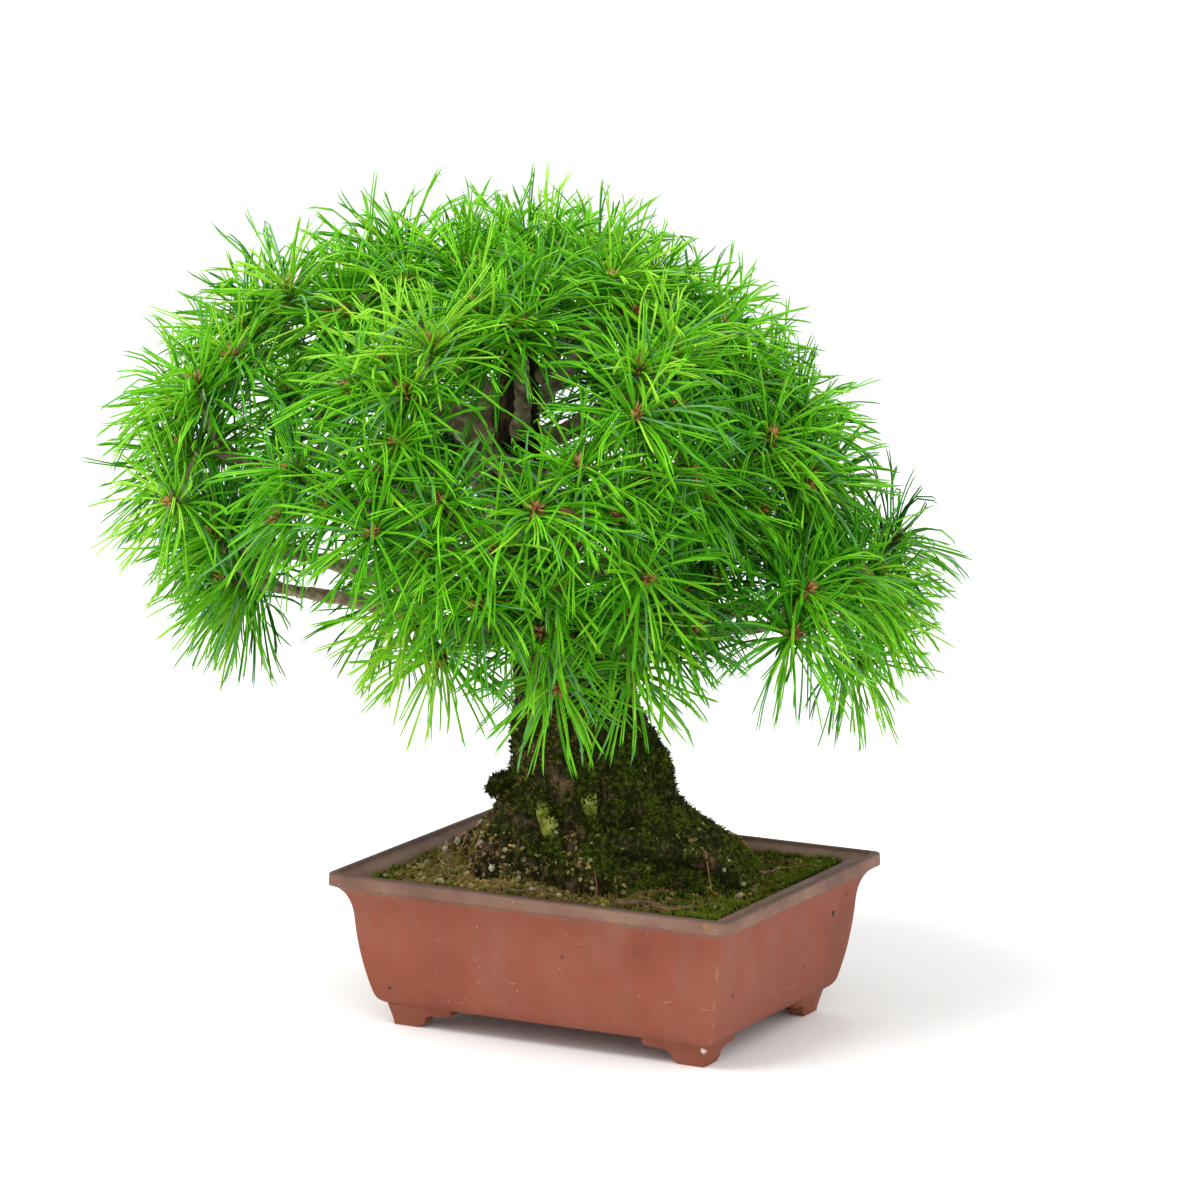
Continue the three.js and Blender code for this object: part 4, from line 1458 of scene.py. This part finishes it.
def makeBuds():
    lines = []
    count = budShape["scales"]
    for tuft in tufts:
        axis = tuft["axis"]
        headings = unit(axis * 0.8 + luck.normal(0, budShape["spread"], (count, 3)))
        starts = tuft["bud"] + axis * luck.uniform(*budShape["sunk"], count)[:, None] + headings * 0.6
        lengths = luck.uniform(*budShape["length"], count)[:, None]
        middles = starts + headings * lengths * 0.5 + luck.normal(0, budShape["bend"], (count, 3))
        lines.append(np.stack([starts, middles, starts + headings * lengths], axis=1))
    lines = np.concatenate(lines)
    radii = np.repeat(np.array([[0.75, 1.0, 0.0]]) * budShape["halfWidth"], len(lines), axis=0)
    addTubes("budScales", lines, radii, 3, "bud", "bough_bark")


makeBuds()
addTubes("twigWood", np.stack(twigLines), np.stack(twigRadii), 7, "bough", "bough_bark")
addTubes("shootWood", np.stack(shootLines), np.stack(shootRadii), 6, "twig", "bough_bark")
print("twigs, needles and buds ready")


# Moss on the soil and the root flare

mossShape = {
    "blades": 5,
    "length": (1.6, 3.6),
    "halfWidth": 0.36,
    "rough": 0.5,
    "soilPitch": 2.0,
    # The foot of the trunk, where no moss grows on the soil: its middle and how far it reaches
    "trunkMiddle": (-4, -1),
    "trunkReach": (88, 62),
    "trunkTufts": 7000,
    "trunkHeight": 130,
    # Above the first level moss is bright, and above the second deep
    "soilLevels": (0.62, 0.4),
    "trunkLevels": (0.84, 0.3),
    "rootLevels": (0.95, 0.42),
}


def mossBlades(spots, normals):
    per = mossShape["blades"]
    count = len(spots) * per
    starts = np.repeat(spots, per, axis=0) + luck.normal(0, mossShape["rough"], (count, 3))
    headings = unit(np.repeat(normals, per, axis=0) + luck.normal(0, mossShape["rough"], (count, 3)))
    lengths = luck.uniform(*mossShape["length"], count)[:, None]
    lines = np.stack([starts - headings * 0.5, starts + headings * lengths], axis=1)
    radii = np.repeat(np.array([[1.0, 0.0]]) * mossShape["halfWidth"], count, axis=0)
    return lines, radii


def makeMoss():
    patches = {"mossBright": [], "mossDeep": [], "mossDry": []}

    def plant(level, levels, spot, normal):
        bright, deep = mossShape[levels]
        name = "mossBright" if level > bright else "mossDeep" if level > deep else "mossDry"
        patches[name].append((tuple(spot), normal))

    halfLength, halfWidth = soilHalf()
    pitch = mossShape["soilPitch"]
    (middleX, middleY), (reachX, reachY) = mossShape["trunkMiddle"], mossShape["trunkReach"]
    for x in np.arange(-halfLength + 1, halfLength - 1, pitch):
        for y in np.arange(-halfWidth + 1, halfWidth - 1, pitch):
            px, py = x + luck.uniform(-1, 1), y + luck.uniform(-1, 1)
            moss = soilMoss(px, py)
            atTrunk = math.hypot((px - middleX) / reachX, (py - middleY) / reachY) < 1
            if atTrunk or luck.uniform(0, 1) > 0.25 + moss:
                continue
            plant(moss + luck.normal(0, 0.16), "soilLevels", (px, py, soilHeight(px, py)), (0, 0, 1))
    for number in range(mossShape["trunkTufts"]):
        turn = luck.uniform(0, 2 * math.pi)
        height = groundLevel + mossShape["trunkHeight"] * luck.uniform(0, 1) ** 1.7
        spot = trunkSurface(turn, height)
        moss = trunkMoss(spot)
        if luck.uniform(0, 1) > 0.2 + moss:
            continue
        level = moss - 0.003 * (height - 110) + 0.16 * clamped((spot.x + 10) / 50, -0.5)
        level += luck.normal(0, 0.16)
        plant(level, "trunkLevels", spot, (math.cos(turn), math.sin(turn), 0.55))
    for root in oldRoots:
        mesh = bpy.data.objects[root].data
        for vert, moss in zip(mesh.vertices, mesh.attributes["moss"].data):
            level = moss.value + luck.normal(0, 0.15)
            if level > mossShape["rootLevels"][1] and luck.uniform(0, 1) < 0.5:
                plant(level, "rootLevels", (vert.co - potMiddle) / mm, tuple(vert.normal))
    for name, found in patches.items():
        spots = np.array([spot for spot, normal in found])
        normals = unit(np.array([normal for spot, normal in found]))
        addTubes(name, *mossBlades(spots, normals), 3, name, "soil_moss")


makeMoss()


# Grit, dead needles and bits of root lie on the soil and on the foot of the trunk

litter = {
    # Number of grains, least and greatest radius, subdivisions and the share on the left
    "paleGrit": (36, (0.9, 3.6), 2, 0.85),
    "ochreGrit": (2400, (0.5, 1.9), 1, 0.75),
    "needles": 18,
    "needleLength": (18, 42),
    "onFlare": 0.35,
    # Things are let fall from here, under the crown where the trunk is near
    "fallFrom": 400,
    "fallByTrunk": 125,
    "byTrunk": 60,
    "trunkMiddle": (-4, -1),
    "trunkReach": (92, 66),
}
ground = surfaceOf("soilSurface", "trunkBark", "mossyRoots")


def restOn(x, y, lift=0.0):
    byTrunk = abs(x - litter["trunkMiddle"][0]) <= litter["byTrunk"]
    above = Vector((x, y, litter["fallByTrunk" if byTrunk else "fallFrom"]))
    found = ground.ray_cast(above, Vector((0, 0, -1)))[0]
    return np.array((x, y, (found.z if found else soilShape["top"]) + lift))


# A spot in the pot in front of or beside the trunk, more often on the left
def litterSpot(leftward, inset=5, onFlare=litter["onFlare"]):
    halfLength, halfWidth = soilHalf()
    (middleX, middleY), (reachX, reachY) = litter["trunkMiddle"], litter["trunkReach"]
    while True:
        x = luck.uniform(-halfLength + inset, halfLength - inset)
        y = luck.uniform(-halfWidth + inset, halfWidth - inset)
        away = math.hypot((x - middleX) / reachX, (y - middleY) / reachY)
        least = 0.68 if y < 0 and luck.uniform(0, 1) < onFlare else 0.96
        if away > least and luck.uniform(0, 1) < (leftward if x < 20 else 1 - leftward):
            return x, y


def makeGrit(name):
    count, (least, greatest), subdivisions, leftward = litter[name]
    ball = bmesh.new()
    bmesh.ops.create_icosphere(ball, subdivisions=subdivisions, radius=1)
    base = np.array([vert.co[:] for vert in ball.verts])
    pattern = np.array([[vert.index for vert in face.verts] for face in ball.faces])
    ball.free()
    grains = []
    for number in range(count):
        radius = luck.uniform(0, 1) ** 2 * (greatest - least) + least
        rough = base * (1 + luck.normal(0, 0.14, (len(base), 1))) * luck.uniform(0.45, 1.25, 3) * radius
        turn = np.array(Matrix.Rotation(luck.uniform(0, anyTurn), 3, "Z")) @ np.array(
            Matrix.Rotation(luck.uniform(-0.6, 0.6), 3, "X"))
        grains.append((rough @ turn.T + restOn(*litterSpot(leftward), radius * 0.3), pattern))
    mesh = arrayMesh(name, *joined(grains))
    mesh.shade_flat()
    addPiece(name, mesh, name)


def makeDeadNeedles():
    lines = []
    halfLength, halfWidth = soilHalf()
    run = np.linspace(-0.5, 0.5, 7)
    for number in range(litter["needles"]):
        x, y = litterSpot(0.6, 12, 0.05)
        turn = luck.uniform(0, anyTurn)
        length = luck.uniform(*litter["needleLength"])
        bow = luck.normal(0, 6)
        xs = x + run * length * math.cos(turn) - (run ** 2 * 4 - 0.5) * bow * math.sin(turn)
        ys = y + run * length * math.sin(turn) + (run ** 2 * 4 - 0.5) * bow * math.cos(turn)
        xs, ys = np.clip(xs, -halfLength + 1, halfLength - 1), np.clip(ys, -halfWidth + 1, halfWidth - 1)
        lines.append(np.stack([restOn(px, py, 1.2 + luck.uniform(0, 1)) for px, py in zip(xs, ys)]))
    radii = np.repeat([(0.3, 0.45, 0.5, 0.5, 0.45, 0.35, 0)], len(lines), axis=0)
    addTubes("deadNeedles", np.stack(lines), radii, 4, "deadNeedle", "soil_moss")


# Sticks and surface roots by the places that they pass over, with their radius
sticks = [
    ([(44, -74), (56, -68), (68, -67), (82, -69), (94, -66)], 1.7),
    ([(56, -68), (70, -76), (80, -78)], 1.1),
    ([(82, -69), (94, -60), (100, -52)], 1.1),
    ([(-92, 52), (-100, 60), (-104, 70), (-96, 78)], 1.8),
    ([(-36, -77), (-20, -80), (-2, -78), (14, -81)], 1.2),
    ([(88, 30), (92, 38), (90, 46)], 1.6),
]


def makeSticks():
    lines, radii = [], []
    count = 22
    for places, radius in sticks:
        flat = smoothLine([(x, y, 0) for x, y in places], count)
        line = np.stack([restOn(x, y, radius * 0.5) for x, y, z in flat])
        line[1:-1, 2] = (line[:-2, 2] + line[1:-1, 2] + line[2:, 2]) / 3 + radius * 0.4
        lines.append(line)
        radii.append(radius * np.linspace(1.1, 0.6, count) * (1 + 0.12 * luck.normal(0, 1, count)))
    addTubes("oldSticks", np.stack(lines), np.stack(radii), 8, "stick", "soil_moss")


makeGrit("paleGrit")
makeGrit("ochreGrit")
makeDeadNeedles()
makeSticks()
print("moss and litter ready")
